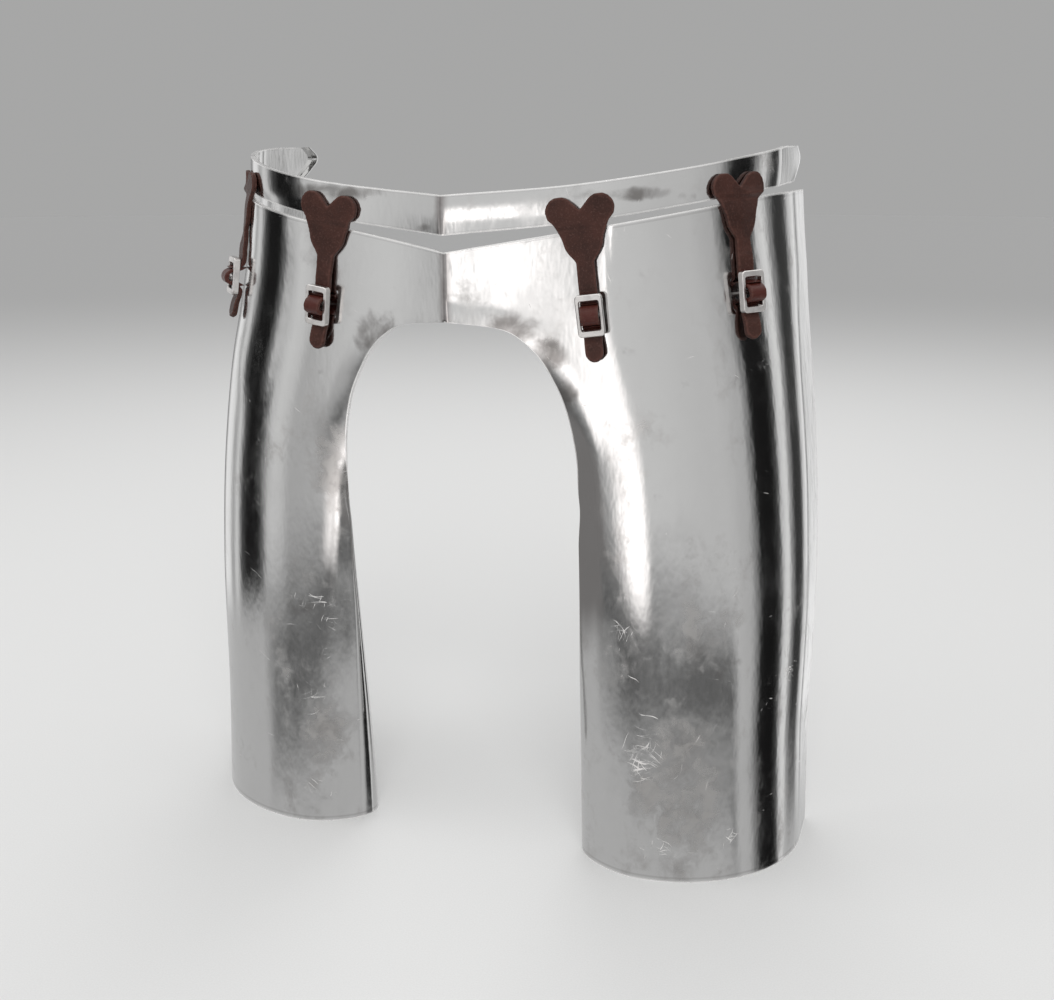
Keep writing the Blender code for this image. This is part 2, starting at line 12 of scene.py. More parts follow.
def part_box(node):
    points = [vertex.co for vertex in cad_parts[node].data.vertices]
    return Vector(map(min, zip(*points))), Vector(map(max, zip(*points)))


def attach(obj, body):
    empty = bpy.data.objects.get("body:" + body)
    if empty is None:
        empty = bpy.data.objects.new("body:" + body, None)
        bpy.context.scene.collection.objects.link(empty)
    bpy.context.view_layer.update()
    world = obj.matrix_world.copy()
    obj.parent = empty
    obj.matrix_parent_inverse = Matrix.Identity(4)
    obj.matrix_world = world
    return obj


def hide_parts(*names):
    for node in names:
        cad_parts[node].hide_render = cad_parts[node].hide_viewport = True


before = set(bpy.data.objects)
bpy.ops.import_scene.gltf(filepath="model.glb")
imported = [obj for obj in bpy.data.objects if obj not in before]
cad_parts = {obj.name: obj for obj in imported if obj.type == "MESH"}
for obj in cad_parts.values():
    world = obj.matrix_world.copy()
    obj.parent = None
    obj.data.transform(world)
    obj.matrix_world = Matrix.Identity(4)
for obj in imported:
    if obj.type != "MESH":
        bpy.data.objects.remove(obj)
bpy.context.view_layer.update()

MM = 0.001

# Camera: the photograph's own view, found from the armour's outlines
IMAGE_WIDTH = 1054
FOCAL_PIXELS = 1303.3
SENSOR_WIDTH = 36.0
CAMERA_PLACE = (0.3193, -0.8725, 0.4819)
CAMERA_PITCH = math.radians(90 - 14.548)
CAMERA_YAW = math.radians(18.744)

# Steel plate measures in millimetres, as the solids have them
STEEL = 3.0
FRONT_Y = -8.0
RIDGE_OUT = 15.7
RIDGE_POWER = 1.8
REAR_Y_FOOT = 117.8
REAR_Y_TOP = 171.5
ARCH_TOP_Z = 382.0
REAR_TOP_Z = 462.8
CURL_REACH_X = 28.0
CURL_REACH_Y = 20.1
CURL_START = 25.6
FULL_CURL = 0.45

Rim = namedtuple("Rim", "share plate_top band_foot band_top")
RIM_LINES = (
    Rim(0.0, 426.2, 436.8, 461.8),
    Rim(0.25, 440.2, 444.5, 468.0),
    Rim(0.5, 454.2, 456.4, 478.9),
    Rim(0.66, 460.6, 463.6, 486.4),
    Rim(0.8, 462.3, 466.6, 491.2),
    Rim(1.0, 462.8, 468.4, 493.0),
)

Leg = namedtuple("Leg", "height front_x outer_x quarter_depth")
LEG_SECTIONS = (
    Leg(0.0, 131.0, 230.6, 91.5),
    Leg(77.0, 131.0, 227.6, 94.0),
    Leg(192.0, 131.0, 226.6, 99.0),
    Leg(269.0, 127.5, 221.5, 103.5),
    Leg(307.0, 121.5, 217.5, 106.0),
    Leg(346.0, 110.0, 212.5, 109.0),
    Leg(384.0, 99.0, 207.4, 121.0),
    Leg(410.0, 96.0, 204.6, 131.0),
    Leg(435.0, 96.0, 201.4, 136.0),
    Leg(467.0, 96.0, 198.0, 138.0),
)

Edge = namedtuple("Edge", "height edge_x turned_back curl")
CUT_EDGE = (
    Edge(382.0, 0.0, 0.0, 0.0),
    Edge(378.2, 33.3, 0.0, 0.0),
    Edge(370.6, 48.6, 0.0, 0.0),
    Edge(359.0, 60.2, 0.0, 0.0),
    Edge(344.3, 69.1, 0.3, 0.0),
    Edge(329.0, 75.9, 0.8, 0.0),
    Edge(309.8, 80.8, 2.5, 0.0),
    Edge(291.0, 83.4, 4.6, 0.10),
    Edge(268.8, 84.0, 7.5, 0.22),
    Edge(230.4, 86.6, 15.0, 0.45),
    Edge(192.0, 88.5, 21.6, 0.64),
    Edge(153.6, 89.5, 28.5, 0.78),
    Edge(115.2, 90.4, 35.3, 0.88),
    Edge(76.8, 91.0, 41.2, 0.94),
    Edge(38.4, 91.4, 45.7, 0.98),
    Edge(0.0, 91.9, 49.2, 1.0),
)

# Waist band measures in millimetres
BAND_FRONT_X = 83.0
BAND_FRONT_Y = -10.2
BAND_RIDGE_OUT = 17.8
BAND_RIDGE_POWER = 1.4
BAND_OUTER_X = 193.6
BAND_QUARTER_DEPTH = 105.6
BAND_ROUNDNESS = 1.75
BAND_END_Y = 160.0
BAND_END_X = 195.2
BAND_LIP = 4.0
BandEnd = namedtuple("BandEnd", "down reach")
BAND_END = (
    BandEnd(0.0, 0.0),
    BandEnd(0.32, 13.0),
    BandEnd(0.70, 1.0),
    BandEnd(1.0, -13.0),
)

# Steps of the fine steel meshes, and the small steps next to their rims, as shares of the
# way across the mesh
FRONT_STEPS = 34
SIDE_STEPS = 40
REAR_STEPS = 12
EDGE_ROWS = 132
UPPER_ROWS = 22
BAND_FRONT_STEPS = 40
BAND_SIDE_STEPS = 52
BAND_REAR_STEPS = 16
BAND_ROWS = 14
RIM_STEP = 0.022
BAND_RIM_STEP = 0.045
FOOT_STEP = 0.0017

# A point this close to X = 0 is on the mirror plane, and no mitre is sharper than this
ON_MIRROR = 1e-6
SHARPEST_MITRE = 0.5

# Rims: how far they are rounded, and how far their wear and painted highlight reach, in
# millimetres, and the bend that makes a rim
RIM_ROUND = 0.75
RIM_ANGLE = math.radians(50)
RIM_WEAR_AND_HIGHLIGHT_REACH = 2.2
BEVEL_SEGMENTS = 3

# The cut edge turns back a little more than the plate does: how deep and how wide this roll
# is in millimetres, the heights between which it grows and, higher up, falls to a share of
# itself, how far back it may reach, and how many points stand for the edge
ROLL_DEPTH = 1.8
ROLL_REACH = 16.0
ROLL_LOW = (110.0, 190.0)
ROLL_HIGH = (330.0, 376.0)
ROLL_AT_ARCH = 0.45
ROLL_MOST_Y = 60.0
ROLL_SAMPLES = 400

# The band, in millimetres: how far it bulges between its rims, the last stretch that
# follows its pointed end, and where its bright rims end, before its lip
BAND_BOW = 0.55
BAND_END_REACH = 24.0
BAND_WORN_AND_HIGHLIT_TO_Y = 140.0

# Shallow unevenness of the hammered plate, in millimetres, and the line X = 0 at this depth
# that its humps point away from
Wave = namedtuple("Wave", "size depth")
WAVES = (Wave(46.0, 0.055), Wave(16.0, 0.014))
WAVES_MIDDLE_Y = 40.0

# World: what the steel reflects at eye level. One row for each edge or middle of a lit
# panel or a dark gap: degrees round from the front towards +X, and the brightness that a
# mirror there shows
Panel = namedtuple("Panel", "turn shown")
PANELS = (
    Panel(-180, 0.62),
    Panel(-164, 0.42),
    Panel(-146, 0.42),
    Panel(-136, 0.5),
    Panel(-127, 0.8),
    Panel(-116, 0.8),
    Panel(-106, 0.58),
    Panel(-98, 0.74),
    Panel(-87, 0.24),
    Panel(-79, 0.11),
    Panel(-65, 0.11),
    Panel(-59, 0.36),
    Panel(-53, 0.7),
    Panel(-46, 0.74),
    Panel(-38, 0.72),
    Panel(-28, 0.62),
    Panel(-6, 0.735),
    Panel(60, 0.69),
    Panel(82, 0.64),
    Panel(87, 0.48),
    Panel(93, 0.11),
    Panel(108, 0.1),
    Panel(114, 0.24),
    Panel(119, 0.74),
    Panel(125, 0.8),
    Panel(131, 0.48),
    Panel(137, 0.2),
    Panel(148, 0.22),
    Panel(155, 0.72),
    Panel(162, 0.82),
    Panel(167, 0.46),
    Panel(173, 0.8),
)

# Where, below eye level, those panels grow dim, how dim, and where the floor begins
DIM_FROM = -14.0
DIM_TO = -22.5
DIM_SHARE = 0.17
FLOOR_FROM = -22.5
FLOOR_TO = -27.5
FLOOR_SHOWN = 0.64
# The panels that reach lower, on the wearer's left, and by how much
LOW_PANELS = (62.0, 74.0, 120.0, 127.0)
LOW_PANEL_DROP = 6.5
# On the wearer's right the floor begins higher up, all the way round from these turns
HIGH_FLOOR_TURN = (-44.0, -62.0)
HIGH_FLOOR_RISE = (-16.5, -19.5)
# Near eye level the dark gap on the wearer's right stands further round, by this much
GAP_TURN = (-128.0, -112.0, -64.0, -52.0)
GAP_RISE = (-5.0, -2.0)
GAP_SHIFT = 9.0
# The ceiling takes over from the panels between these rises
CEILING_RISE = (22.0, 50.0)
CEILING_SHOWN = 0.90

# Lit and dim cards close by, which mirrors alone see: where each stands, its turn about the
# vertical in degrees and the brightness that a mirror shows there, its foot and head, its
# sides at the foot and at the head, and how far each edge fades either way. In millimetres
Card = namedtuple(
    "Card",
    "name x y turn shown foot head left_foot left_head right_foot right_head"
    " soft_left soft_right soft_foot soft_head",
)
CARDS = (
    Card("leg_card", 0, -500, 0, 1.20, 50, 348, -36, -28, 72, 16, 44, 44, 44, 7),
    Card("belly_card", 0, -400, 0, 1.34, 357, 420, 50, 50, 61, 61, 44, 5, 7, 7),
    Card("band_card", 0, -502, 0, 1.26, 403, 460, 76, 76, 94, 94, 7, 6, 6, 12),
    Card("inner_card", 0, -200, 0, 0.95, 165, 238, -118, -118, -78, -78, 24, 17, 22, 16),
    Card("inner_shade", 0, -201, 0, 0.42, 172, 256, -26, -26, 43, 43, 20, 11, 16, 12),
    Card("edge_shade", 40, -60, 90, 0.42, 150, 290, -100, -100, 30, 30, 12, 12, 25, 20),
)
CARD_TINT = (1.0, 0.965, 0.955)

# Places that wore, that are stained and that carry painted shade, in millimetres: the middle,
# how far it reaches across and up, and how strongly it shows. Each shows fully up to this share
# of its reach, and reaches further in depth than across
SCUFF_FULL = 0.2
SCUFF_FLATNESS = 0.7
Scuff = namedtuple("Scuff", "x y z across up strength")
SCUFFS = (
    Scuff(117, -80, 179, 16, 14, 1.0),
    Scuff(134, -80, 92, 22, 34, 1.0),
    Scuff(193, -60, 30, 14, 16, 0.9),
    Scuff(217, -22, 143, 16, 9, 1.0),
    Scuff(197, -27, 356, 12, 9, 0.8),
    Scuff(-112, -78, 176, 44, 9, 1.0),
    Scuff(-100, -76, 160, 24, 14, 0.6),
    Scuff(-115, -78, 98, 22, 30, 0.8),
    Scuff(-112, -78, 28, 26, 12, 0.7),
    Scuff(150, -78, 26, 34, 16, 0.7),
    Scuff(64, -84, 352, 18, 20, 0.5),
)
DULL_PLACES = (
    Scuff(-92, -74, 262, 24, 75, 1.0),
    Scuff(112, -80, 250, 26, 80, 0.75),
    Scuff(160, -74, 80, 50, 78, 1.0),
    Scuff(163, -75, 186, 46, 40, 0.75),
    Scuff(-121, -80, 200, 36, 30, 0.7),
    Scuff(-112, -78, 62, 30, 52, 0.7),
    Scuff(140, -78, 12, 50, 22, 0.6),
)
# Stains, and last the band's two long streaks of painted shade: dark reflections painted into the
# colour
STAINS_AND_PAINTED_SHADE = (
    Scuff(-55, -84, 371, 28, 28, 1.0),
    Scuff(44, -86, 376, 28, 19, 1.0),
    Scuff(60, -84, 360, 26, 25, 1.0),
    Scuff(76, -82, 333, 17, 28, 0.9),
    Scuff(-124, -80, 172, 26, 16, 0.8),
    Scuff(170, -73, 160, 36, 26, 0.6),
    Scuff(-12, -90, 441, 14, 6, 0.9),
    Scuff(16, -91, 449, 9, 12, 0.5),
    # Painted shade: dark reflections along the top of the band
    Scuff(118, -78, 463, 64, 8, 0.9),
    Scuff(-86, -90, 463, 66, 9, 0.9),
)

# Steel is duller and more scratched below these heights, in metres
LOW_DOWN = (0.21, 0.08)

# Painted shade beside the ridge of the belly, a dark reflection painted into the colour: how
# far it reaches in millimetres, and the heights and depths in metres over which it begins
RIDGE_SHADE_REACH = 6.0
RIDGE_SHADE_ABOVE = (0.375, 0.385)
RIDGE_SHADE_IN_FRONT = (0.0, -0.05)

# Scratches: turns about the three axes in degrees, length and width in millimetres
Scratch = namedtuple("Scratch", "turn length width")
SCRATCHES = (
    Scratch((0, 64, 0), 36, 0.9),
    Scratch((0, -45, 0), 32, 0.8),
    Scratch((0, 9, 0), 42, 0.8),
    Scratch((0, -18, 8), 26, 0.9),
    Scratch((0, 84, 30), 28, 0.8),
)
# How deep a scratch reaches, in millimetres, and how far it strays from its way, in metres
SCRATCH_DEPTH = 7.0
SCRATCH_DRIFT = 0.016
# A scratch shows where the noise is above this level, lower by the crowding where worn,
# and its edge fades over this much of the noise
SCRATCH_LEVEL = 0.865
SCRATCH_CROWDING = 0.165
SCRATCH_EDGE = 0.060

# Noises of the materials: how fine in waves a metre, its octaves and their roughness, its
# twist, and how the places are stretched and shifted before it
Grain = namedtuple(
    "Grain",
    "scale detail rough twist stretch shift",
    defaults=(3.0, 0.55, 0.0, (1.0, 1.0, 1.0), (0.0, 0.0, 0.0)),
)
DULL_CLOUDS = Grain(30.0, detail=6.0, rough=0.65, stretch=(1.0, 1.0, 0.6))
DULL_FLAKES = Grain(95.0, detail=4.0, rough=0.6, twist=0.6)
STAIN_AND_SHADE_BLOTS = Grain(42.0, detail=4.0, rough=0.55, twist=0.4)
FIBRES = Grain(1.0, detail=0.0)
SCRATCH_BENDS = Grain(40.0, detail=1.0, rough=0.5)
SCRATCH_PATCHES = Grain(38.0, detail=2.0, shift=(0.4, 0.1, 0.7))
SCRATCH_BREAKS = Grain(90.0, detail=2.0, shift=(0.2, 0.7, 0.1))
RIM_CHIPS = Grain(110.0)
STEEL_TONES = Grain(26.0, detail=6.0, rough=0.7)
STEEL_GRAIN = Grain(420.0, detail=2.0, stretch=(1.0, 1.0, 0.3))
STEEL_SMEARS = Grain(34.0, detail=5.0, rough=0.65, stretch=(1.0, 1.0, 0.5))
STEEL_FRAY = Grain(250.0, detail=1.0, stretch=(1.0, 1.0, 0.45))
STEEL_RIPPLE = Grain(70.0, detail=1.0, stretch=(1.0, 1.0, 0.55))
LEATHER_PATCHES = Grain(60.0, detail=4.0, rough=0.6)
LEATHER_FINE = Grain(900.0)
LEATHER_WRINKLES = Grain(230.0, twist=0.6, stretch=(1.0, 1.0, 2.2))
LEATHER_PORES = 1300.0
BUCKLE_CLOUDS = Grain(160.0)
BUCKLE_BRUSHING = Grain(1400.0, detail=2.0, stretch=(1.0, 1.0, 0.12))
FLOOR_SPECKLE = Grain(900.0, detail=2.0)

# Where each kind of wear, the painted shade and the painted highlight begin and are full, on
# their noise, and for some the least and the most that they then count
DULL_LEVELS = (0.80, 1.16)
STAIN_AND_SHADE_LEVELS = (0.64, 0.98)
RIDGE_SHADE_LEVELS = (0.38, 0.62, 0.50, 0.86)
FEW_SCRATCHES = (0.60, 0.80, 0.0, 0.38)
FAINT_SCRATCHES = (0.35, 0.68, 0.05, 0.72)
CHIP_LEVELS = (0.30, 0.60, 0.80, 1.0)
RIM_LEVELS = (0.35, 0.85)
INNER_RIM_DARK_LEVELS = (0.02, 0.15, 0.25, 0.40)
SMEAR_LEVELS = (0.42, 0.72, 0.0, 0.09)

# How much of the colour each takes, and how much of the metal worn rims and scratches lose
TONE_SHARE = 0.10
STAIN_AND_SHADE_SHARE = 0.80
INNER_RIM_DARK_SHARE = 0.20
RIM_SHARE = 0.55
BARE_LOSS = 0.72

# Roughness of the polished steel, and what its grain, each kind of wear and the streaks of
# painted shade add to it
POLISHED = 0.075
GRAIN_ROUGH = 0.04
DULL_ROUGH = 0.24
STAIN_AND_SHADE_ROUGH = 0.10
BARE_ROUGH = 0.30

# Colours of the steel: clean, dull at its darkest and lightest, smeared, stained and painted
# with shade, painted with a dark reflection along the ridge, darker just inside the rims, bare
# and painted with a highlight on worn rims, and bare in scratches
STEEL_COLOUR = (0.640, 0.638, 0.632)
DULL_DARK = (0.38, 0.365, 0.355)
DULL_LIGHT = (0.54, 0.525, 0.51)
SMEAR_COLOUR = (0.80, 0.80, 0.80)
STAIN_AND_SHADE_COLOUR = (0.150, 0.138, 0.130)
RIDGE_SHADE_COLOUR = (0.19, 0.165, 0.16)
INNER_RIM_DARK_COLOUR = (0.24, 0.23, 0.22)
RIM_WEAR_AND_HIGHLIGHT_COLOUR = (0.88, 0.87, 0.86)
SCRATCH_COLOUR = (0.97, 0.94, 0.92)

# Colours of the leather: dark, light, where it bends, its pale specks and its worn edges
LEATHER_DARK = (0.028, 0.0090, 0.0058)
LEATHER_LIGHT = (0.050, 0.0165, 0.0110)
LEATHER_BENT = (0.060, 0.009, 0.006)
LEATHER_SPECK = (0.115, 0.056, 0.045)
LEATHER_EDGE = (0.090, 0.036, 0.027)

# Colours of the buckles' satin steel
BUCKLE_LIGHT = (0.80, 0.775, 0.755)
BUCKLE_DARK = (0.66, 0.635, 0.62)

# The brightness that a mirror shows is turned into light with the display's own power
DISPLAY_POWER = 2.2

# Straps: the size of the new mesh in metres, how strongly and how often it is smoothed, and
# the bend in radians that wears an edge through. Leather flexes near the buckle, not at all
# at FLEX_END reaches, in metres, and fully one reach nearer
STRAP_VOXEL = 0.00055
STRAP_SMOOTH_SHARE = 0.5
STRAP_SMOOTHING = 4
EDGE_WEAR_ANGLE = 0.32
FLEX_REACH = 0.011
FLEX_END = 1.6

# How each pair of straps faces and leans, in degrees, as the solids do
FACING = {"front": 10.0, "side": 46.0}
LEAN = {"front": 7.0, "side": 2.7}

# Bends of a strap are eased over these lengths in metres, a shorter one at the buckle, where
# the hump also swells. A point whose normal leans outward by this much is on the outer face
EASE_BIN = 0.0005
EASE_PLAIN = 0.0075
EASE_HUMP = 0.0014
HUMP_REACH = 0.0105
HUMP_SWELL = 0.0012
SWELL_SHARE = 0.75
FACES_OUT = 0.6

# Buckles: the rounding of their edges in millimetres, and the bend that makes an edge
BUCKLE_ROUND = 0.28
BUCKLE_EDGE_ANGLE = math.radians(28)

# Copies of solids: points this close in metres are joined, and faces that meet at less than
# this angle are made one
JOIN_REACH = 1e-6
FLAT_ANGLE = math.radians(0.6)

# What the camera sees behind the floor, and the soft light from all round
BACKDROP = (0.385, 0.385, 0.383)
SOFT_LIGHT = (0.74, 0.74, 0.74)

# The floor: its reach in metres, its two tones near the armour, and the darker tone, a
# painted falloff of light, that it takes on between these distances in metres
FLOOR_RADIUS = 12.0
FLOOR_CORNERS = 96
FLOOR_DARK = (0.735, 0.735, 0.73)
FLOOR_LIGHT = (0.765, 0.765, 0.76)
FLOOR_FADE = (0.7, 4.5)
FAR_FLOOR_PAINTED_SHADE = (0.50, 0.50, 0.498)

# Soft lamps: place in metres, size in metres, power in watts
Lamp = namedtuple("Lamp", "name place size power")
LAMPS = (
    Lamp("key", (0.75, -1.9, 1.7), 1.3, 20.0),
    Lamp("fill", (-1.9, -0.6, 1.5), 1.3, 5.0),
    Lamp("back", (-0.3, 1.7, 1.9), 1.5, 9.0),
)
LAMP_AIM = (0.0, 0.0, 0.25)


def clamp(value, low, high):
    return max(low, min(high, value))


def mix(a, b, share):
    return a + (b - a) * share


def smooth_step(share):
    share = clamp(share, 0.0, 1.0)
    return share * share * (3 - 2 * share)


def add_object(name, data):
    obj = bpy.data.objects.new(name, data)
    bpy.context.scene.collection.objects.link(obj)
    return obj


def mesh_from(work, name):
    """A mesh with what the bmesh holds, which is then let go."""
    mesh = bpy.data.meshes.new(name)
    work.to_mesh(mesh)
    work.free()
    return mesh


def add_bevel(obj, width, angle):
    """Rounds the edges that bend by more than the angle."""
    bevel = obj.modifiers.new("rounded_edges", "BEVEL")
    bevel.width = width * MM
    bevel.segments = BEVEL_SEGMENTS
    bevel.limit_method = "ANGLE"
    bevel.angle_limit = angle


def slope_at(table, places, index, column):
    """A column's slope at one row: that of the parabola through it and its neighbours."""
    slopes = []
    spans = []
    for low in (index - 1, index):
        if 0 <= low < len(table) - 1:
            spans.append(places[low + 1] - places[low])
            slopes.append((table[low + 1][column] - table[low][column]) / spans[-1])
    if len(slopes) == 1:
        return slopes[0]
    return (slopes[0] * spans[1] + slopes[1] * spans[0]) / (spans[0] + spans[1])


def curve_at(table, places, place):
    """The table's row at a place, on smooth curves through the rows that lie at places."""
    place = clamp(place, places[0], places[-1])
    index = 0
    while index < len(table) - 2 and place > places[index + 1]:
        index += 1
    start, end = table[index], table[index + 1]
    span = places[index + 1] - places[index]
    share = (place - places[index]) / span
    values = []
    for column in range(len(start)):
        left = slope_at(table, places, index, column) * span
        right = slope_at(table, places, index + 1, column) * span
        rise = end[column] - start[column]
        cubic = left + right - 2 * rise
        square = 3 * rise - 2 * left - right
        values.append(start[column] + share * (left + share * (square + share * cubic)))
    return type(start)(*values)


def leg_section(height):
    return curve_at(LEG_SECTIONS, [row.height for row in LEG_SECTIONS], height)


def edge_row(share):
    return curve_at(CUT_EDGE, range(len(CUT_EDGE)), share * (len(CUT_EDGE) - 1))


def rim_heights(share):
    return curve_at(RIM_LINES, [rim.share for rim in RIM_LINES], share)


def ridge_y(x, front_x, front_y, out, power):
    return front_y - out * max(0.0, 1 - x / front_x) ** power


def front_point(share, front_x, edge_x, turned_back, curl):
    """A point from the leg's front line, at 0, to its cut edge or the ridge, at 1."""
    edge_y = ridge_y(edge_x, front_x, FRONT_Y, RIDGE_OUT, RIDGE_POWER) + turned_back
    plain_x = mix(front_x, edge_x, share)
    plain_y = FRONT_Y + (edge_y - FRONT_Y) * share**RIDGE_POWER
    steer_x = (front_x, front_x - CURL_START, edge_x - CURL_REACH_X * curl, edge_x)
    steer_y = (FRONT_Y, FRONT_Y, edge_y - CURL_REACH_Y * curl, edge_y)
    rest = 1 - share
    weights = (rest**3, 3 * rest**2 * share, 3 * rest * share**2, share**3)
    curled_x = sum(w * x for w, x in zip(weights, steer_x))
    curled_y = sum(w * y for w, y in zip(weights, steer_y))
    curled = smooth_step(curl / FULL_CURL)
    return mix(plain_x, curled_x, curled), mix(plain_y, curled_y, curled)


def shares_to_rim(steps, first_step=RIM_STEP, last_step=RIM_STEP):
    """Even shares from 0 to 1, with a first and a last short step beside the rims."""
    shares = [step / steps for step in range(steps + 1)]
    return [0.0, first_step] + shares[1:-1] + [1 - last_step, 1.0]


def plate_section(height, edge_x=0.0, turned_back=0.0, curl=0.0):
    """The plate's outer face in plan at one height, from its inner edge to its rear edge."""
    leg = leg_section(height)
    line = []
    for share in reversed(shares_to_rim(FRONT_STEPS)[2:]):
        line.append(front_point(share, leg.front_x, edge_x, turned_back, curl))
    for step in range(SIDE_STEPS + 1):
        turn = math.pi / 2 * step / SIDE_STEPS
        x = leg.front_x + (leg.outer_x - leg.front_x) * math.sin(turn)
        line.append((x, FRONT_Y + leg.quarter_depth * (1 - math.cos(turn))))
    rear_y = mix(REAR_Y_FOOT, REAR_Y_TOP, height / REAR_TOP_Z)
    for share in shares_to_rim(REAR_STEPS)[2:]:
        line.append((leg.outer_x, mix(FRONT_Y + leg.quarter_depth, rear_y, share)))
    return line


def band_section():
    """The band's outer face in plan, from the front ridge to its end."""
    line = []
    for share in [0.0, RIM_STEP] + [n / BAND_FRONT_STEPS for n in range(1, BAND_FRONT_STEPS)]:
        x = BAND_FRONT_X * share
        y = ridge_y(x, BAND_FRONT_X, BAND_FRONT_Y, BAND_RIDGE_OUT, BAND_RIDGE_POWER)
        line.append((x, y))
    power = 2 / BAND_ROUNDNESS
    for step in range(BAND_SIDE_STEPS + 1):
        turn = math.pi / 2 * step / BAND_SIDE_STEPS
        across = math.sin(turn) ** power
        along = 1 - max(0.0, math.cos(turn)) ** power
        x = mix(BAND_FRONT_X, BAND_OUTER_X, across)
        line.append((x, BAND_FRONT_Y + BAND_QUARTER_DEPTH * along))
    side_end = BAND_FRONT_Y + BAND_QUARTER_DEPTH
    for step in range(1, BAND_REAR_STEPS + 1):
        share = step / BAND_REAR_STEPS
        line.append((mix(BAND_OUTER_X, BAND_END_X, share), mix(side_end, BAND_END_Y, share)))
    return line


def inset_line(line, depth, on_mirror):
    """The line moved to its left-hand side, with a mitre at the mirror plane."""
    moved = []
    for index, point in enumerate(line):
        before = line[index - 1] if index else None
        after = line[index + 1] if index + 1 < len(line) else None
        if before is None and on_mirror:
            before = (-after[0], after[1])
        tangents = []
        for start, end in ((before, point), (point, after)):
            if start is not None and end is not None:
                step = Vector((end[0] - start[0], end[1] - start[1]))
                tangents.append(step.normalized())
        tangent = sum(tangents, Vector((0.0, 0.0))).normalized()
        reach = depth / max(SHARPEST_MITRE, tangent.dot(tangents[0]))
        moved.append((point[0] - tangent.y * reach, point[1] + tangent.x * reach))
    return moved


def travel_shares(line):
    lengths = [0.0]
    for start, end in zip(line, line[1:]):
        lengths.append(lengths[-1] + math.dist(start, end))
    return [length / lengths[-1] for length in lengths]


def wall_row(outer, heights):
    """One row of the wall: its outer line and the same line set in by the steel."""
    inner = inset_line(outer, STEEL, abs(outer[0][0]) < ON_MIRROR)
    return tuple([(x, y, z) for (x, y), z in zip(line, heights)] for line in (outer, inner))


def plate_rows():
    rows = []
    shares = travel_shares(plate_section(REAR_TOP_Z))
    tops = [rim_heights(share).plate_top for share in shares]
    for down in shares_to_rim(UPPER_ROWS)[:-2]:
        heights = [mix(top, ARCH_TOP_Z, down) for top in tops]
        outer = [plate_section(height)[column] for column, height in enumerate(heights)]
        rows.append(wall_row(outer, heights))
    edge_shares = shares_to_rim(EDGE_ROWS, last_step=FOOT_STEP)
    for share in edge_shares[:1] + edge_shares[2:]:
        edge = edge_row(share)
        outer = plate_section(*edge)
        rows.append(wall_row(outer, [edge.height] * len(outer)))
    return rows


def band_rows():
    """The band's rows. Its last points run back to the pointed end and the lip."""
    line = band_section()
    shares = travel_shares(line) + [1.0]
    rims = [rim_heights(share) for share in shares]
    rows = []
    for down in shares_to_rim(BAND_ROWS, BAND_RIM_STEP, BAND_RIM_STEP):
        end = curve_at(BAND_END, [row.down for row in BAND_END], down)
        heights = [mix(rim.band_top, rim.band_foot, down) for rim in rims]
        end_x, end_y = line[-1]
        stretched = []
        for x, y in line:
            pull = smooth_step((y - (end_y - BAND_END_REACH)) / BAND_END_REACH)
            stretched.append((x, y + end.reach * pull))
        lip = (end_x - STEEL - BAND_LIP, end_y + end.reach)
        bow = BAND_BOW * (2 * down - 1) ** 2
        rows.append(wall_row(inset_line(stretched + [lip], bow, True), heights))
    return rows


def roll_cut_edge(work, shift_y):
    """Turns the plate back near the cut edge, so that its rim is softly rolled."""
    nearest = KDTree(2 * ROLL_SAMPLES)
    for step in range(ROLL_SAMPLES):
        edge = edge_row(step / (ROLL_SAMPLES - 1))
        for side in (1, -1):
            nearest.insert(Vector((side * edge.edge_x, 0.0, edge.height)), step)
    nearest.balance()
    for vert in work.verts:
        x, y, z = vert.co / MM
        if y > shift_y + ROLL_MOST_Y:
            continue
        distance = nearest.find(Vector((x, 0.0, z)))[2]
        near = clamp(1 - distance / ROLL_REACH, 0.0, 1.0)
        share = smooth_step((z - ROLL_LOW[0]) / (ROLL_LOW[1] - ROLL_LOW[0]))
        upper = smooth_step((z - ROLL_HIGH[0]) / (ROLL_HIGH[1] - ROLL_HIGH[0]))
        share *= mix(1.0, ROLL_AT_ARCH, upper)
        vert.co.y += ROLL_DEPTH * near**2 * share * MM


def steel_sheet(name, rows, shift_y, rolled=False, worn_and_highlit_to_y=REAR_Y_TOP):
    """A closed wall from rows of (outer, inner) lines, made twice about X = 0."""
    work = bmesh.new()
    wear = work.verts.layers.float.new("rim_wear_and_highlight")
    index = {}

    def add(layer, side, row, column):
        if abs(rows[row][0][column][0]) < ON_MIRROR:
            side = 1
        key = (layer, side, row, column)
        if key not in index:
            x, y, z = rows[row][layer][column]
            index[key] = work.verts.new(Vector((side * x, y + shift_y, z)) * MM)
        return index[key]

    for layer in (0, 1):
        for side in (1, -1):
            for row in range(len(rows) - 1):
                for column in range(len(rows[0][0]) - 1):
                    near = ((row, column), (row + 1, column))
                    far = ((row + 1, column + 1), (row, column + 1))
                    corners = [add(layer, side, *corner) for corner in near + far]
                    work.faces.new(corners[:: side * (1 if layer == 0 else -1)])
    close_open_edges(work, index)
    bmesh.ops.recalc_face_normals(work, faces=work.faces)
    if rolled:
        roll_cut_edge(work, shift_y)
    roughen(work)
    mark_rims(work, wear, (shift_y + worn_and_highlit_to_y) * MM)
    return finish_steel(name, mesh_from(work, name))


